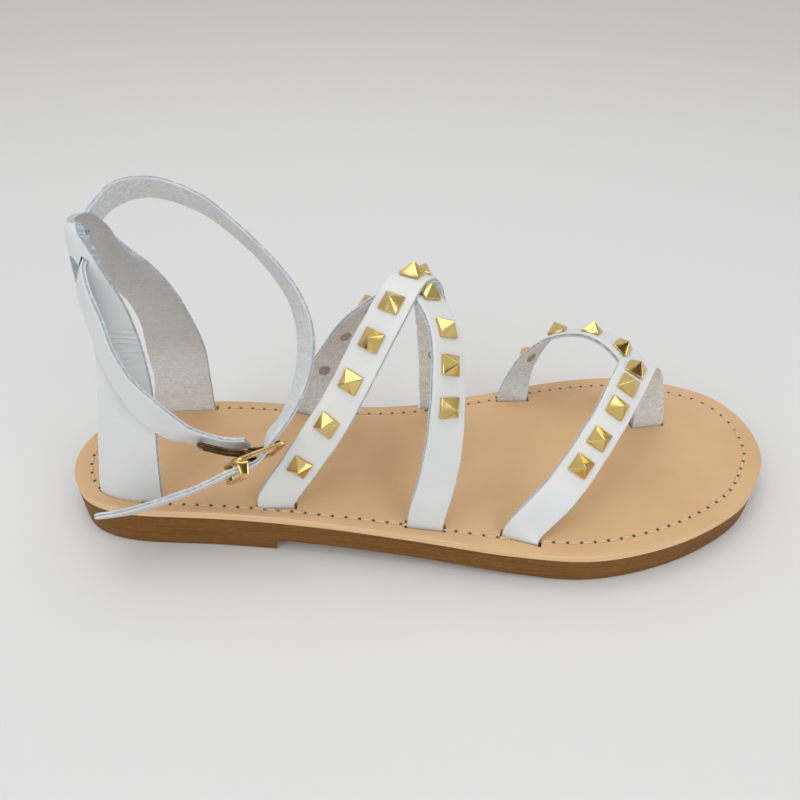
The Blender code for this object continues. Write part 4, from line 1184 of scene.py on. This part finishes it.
ANKLE = Band(ANKLE_STRAP)
NEAR, FAR = (ANKLE.length[np.linalg.norm(ANKLE.middle - np.array(ANKLE_STRAP[row][:3]), axis=1).argmin()]
             for row in SLIT_ROWS)
ankle = strap_mesh("ankle_strap_band", ANKLE, STRAP_WIDTH, ANKLE_THICKNESS, 40, rounded=STRAP_WIDTH / 2)
add_piece("ankle_strap_band", ankle, ("ankle_strap",))
way = strap_mesh("strap_way", ANKLE, STRAP_WIDTH + SLIT_CLEARANCE, ANKLE_THICKNESS + SLIT_CLEARANCE, 0,
                 NEAR, FAR, kind=1)
counter = counter_mesh("heel_counter_wall", 24)
for cutter in (opening_mesh("open_back"), oval_mesh("slit_opening", *SLIT_OPENING), way):
    counter = cut_mesh(counter, cutter)
add_piece("heel_counter_wall", counter, ("heel_counter",))
make_buckle()

BANDS = {
    "rear": strap_band("rear_outer", REAR_STRAP, "front_inner", -1, 1),
    "front": strap_band("front_outer", FRONT_STRAP, "rear_inner", -1, 1),
    "toe_outer": strap_band("toe_outer", OUTER_TOE_STRAP, "post", -1, 1, -POST_HALF_PITCH),
    "toe_inner": strap_band("toe_inner", INNER_TOE_STRAP, "post", 1, -1, -POST_HALF_PITCH),
}
STRAP_NODES = {"rear": ("instep_straps",), "front": (), "toe_outer": ("toe_straps",), "toe_inner": ()}
for seed, (key, band) in enumerate(BANDS.items()):
    mesh = strap_mesh(f"strap_{key}", band, STRAP_WIDTH, STRAP_THICKNESS, 10 + 4 * seed)
    add_piece(f"strap_{key}", mesh, STRAP_NODES[key])
    make_studs(key, band)
BOTH = (-1.0, 1.0)
FUZZY = [(band, STRAP_WIDTH, STRAP_THICKNESS, BARE_END, band.length[-1] - BARE_END, BOTH)
         for band in BANDS.values()]
FUZZY.append((ANKLE, STRAP_WIDTH, ANKLE_THICKNESS, 1.0, ANKLE.length[-1] - BARE_END, BOTH))
inset = 0.5 * COUNTER_THICKNESS
for front, side in ((3, -1.0), (2, 1.0)):
    rim = Band([(row[front] - 1.0, row[5] + side * (row[4] - inset), row[0], 0.0, side, 0.0)
                for row in COUNTER[1:-1]])
    FUZZY.append((rim, 2.0, COUNTER_THICKNESS, 2.0, rim.length[-1], (-side,)))
make_fibres(FUZZY)


# Floor, light and camera

def make_floor():
    """Wide pale floor as one flat grid, its tone drifting slowly with distance as painted light and shade:
    a little lighter from just before the shoe, darker and warmer far behind it.
    """
    x, y = np.meshgrid(np.linspace(-3000.0, 3000.0, 13), np.linspace(-2000.0, 4000.0, 13), indexing="ij")
    points = np.dstack((x, y, np.zeros_like(x)))
    tree = Finish("pale_floor", 0.6)
    place = tree.place()
    depth = tree.parts(place)[1]
    # painted light and shade: a lighter band from just before the shoe and a darker, warmer far part,
    # standing in for the studio's fall of light
    near = tree.span(depth, -0.25, 0.05)
    far = tree.span(depth, 0.15, 0.8)
    colour = tree.mix(near, (0.74, 0.74, 0.74), (0.755, 0.755, 0.755))
    colour = tree.mix(far, colour, (0.74, 0.73, 0.715))
    cloud = tree.noise(place, 6.0, 3.0, 0.5)
    colour = tree.mix(tree.span(cloud, 0.3, 0.7, 0.0, 0.12), colour, (0.72, 0.72, 0.72))
    material = tree.dress(colour, None, tree.noise(place, 700.0, 3.0, 0.6), 0.0001, 0.15)
    mesh = fill_mesh("floor_sheet", points, [(grid_faces(*x.shape), 0)], (material,))
    link_object("floor_sheet", mesh)


def placing(right, up, back, place):
    """Placing of a light or camera from its three directions and its place."""
    placed = np.eye(4)
    placed[:3] = np.stack((right, up, back, place), axis=-1)
    return Matrix(placed.tolist())


def make_light(name, place, target, size, power):
    """Square soft light at a place, turned to a target."""
    data = bpy.data.lights.new(name, "AREA")
    data.shape = "SQUARE"
    data.size = size
    data.energy = power
    back = unit(np.array(place) - np.array(target))
    side = unit(np.cross((0.0, 1.0, 0.02), back))
    link_object(name, data).matrix_world = placing(side, np.cross(back, side), back, place)


def make_world():
    """Soft studio surround: paler overhead, greyer below, with dark cards for the metal to mirror."""
    world = bpy.data.worlds.new("studio")
    world.use_nodes = True
    bpy.context.scene.world = world
    tree = Tree(world.node_tree)
    way = tree.add("ShaderNodeTexCoord").outputs["Generated"]
    colour = tree.mix(tree.span(tree.parts(way)[2], -0.1, 0.9), (0.82, 0.82, 0.82), (0.90, 0.90, 0.90))
    for aim, low, high, most, tone in DARK_CARDS:
        near = tree.add("ShaderNodeVectorMath", {0: way, 1: aim}, operation="DOT_PRODUCT").outputs["Value"]
        colour = tree.mix(tree.span(near, low, high, 0.0, most), colour, tone)
    back = world.node_tree.nodes["Background"]
    world.node_tree.links.new(colour, back.inputs["Color"])
    back.inputs["Strength"].default_value = SURROUND_STRENGTH


def make_camera():
    """Camera from its place and angles: forward from turn and tilt, then leaned about it."""
    ahead = np.array((math.sin(CAMERA_YAW), math.cos(CAMERA_YAW), 0.0))
    forward = ahead * math.cos(CAMERA_DOWN) - np.array((0.0, 0.0, math.sin(CAMERA_DOWN)))
    level = np.array((ahead[1], -ahead[0], 0.0))
    upright = np.cross(level, forward)
    right = math.cos(CAMERA_LEAN) * level + math.sin(CAMERA_LEAN) * upright
    up = -math.sin(CAMERA_LEAN) * level + math.cos(CAMERA_LEAN) * upright
    data = bpy.data.cameras.new("camera")
    data.lens = CAMERA_LENS
    data.sensor_width = 36.0
    data.clip_start = 0.001
    camera = link_object("camera", data)
    camera.matrix_world = placing(right, up, -forward, CAMERA_PLACE)
    bpy.context.scene.camera = camera


make_floor()
make_world()
for light in LIGHTS:
    make_light(*light)
make_camera()
bpy.context.scene.view_settings.view_transform = "Standard"
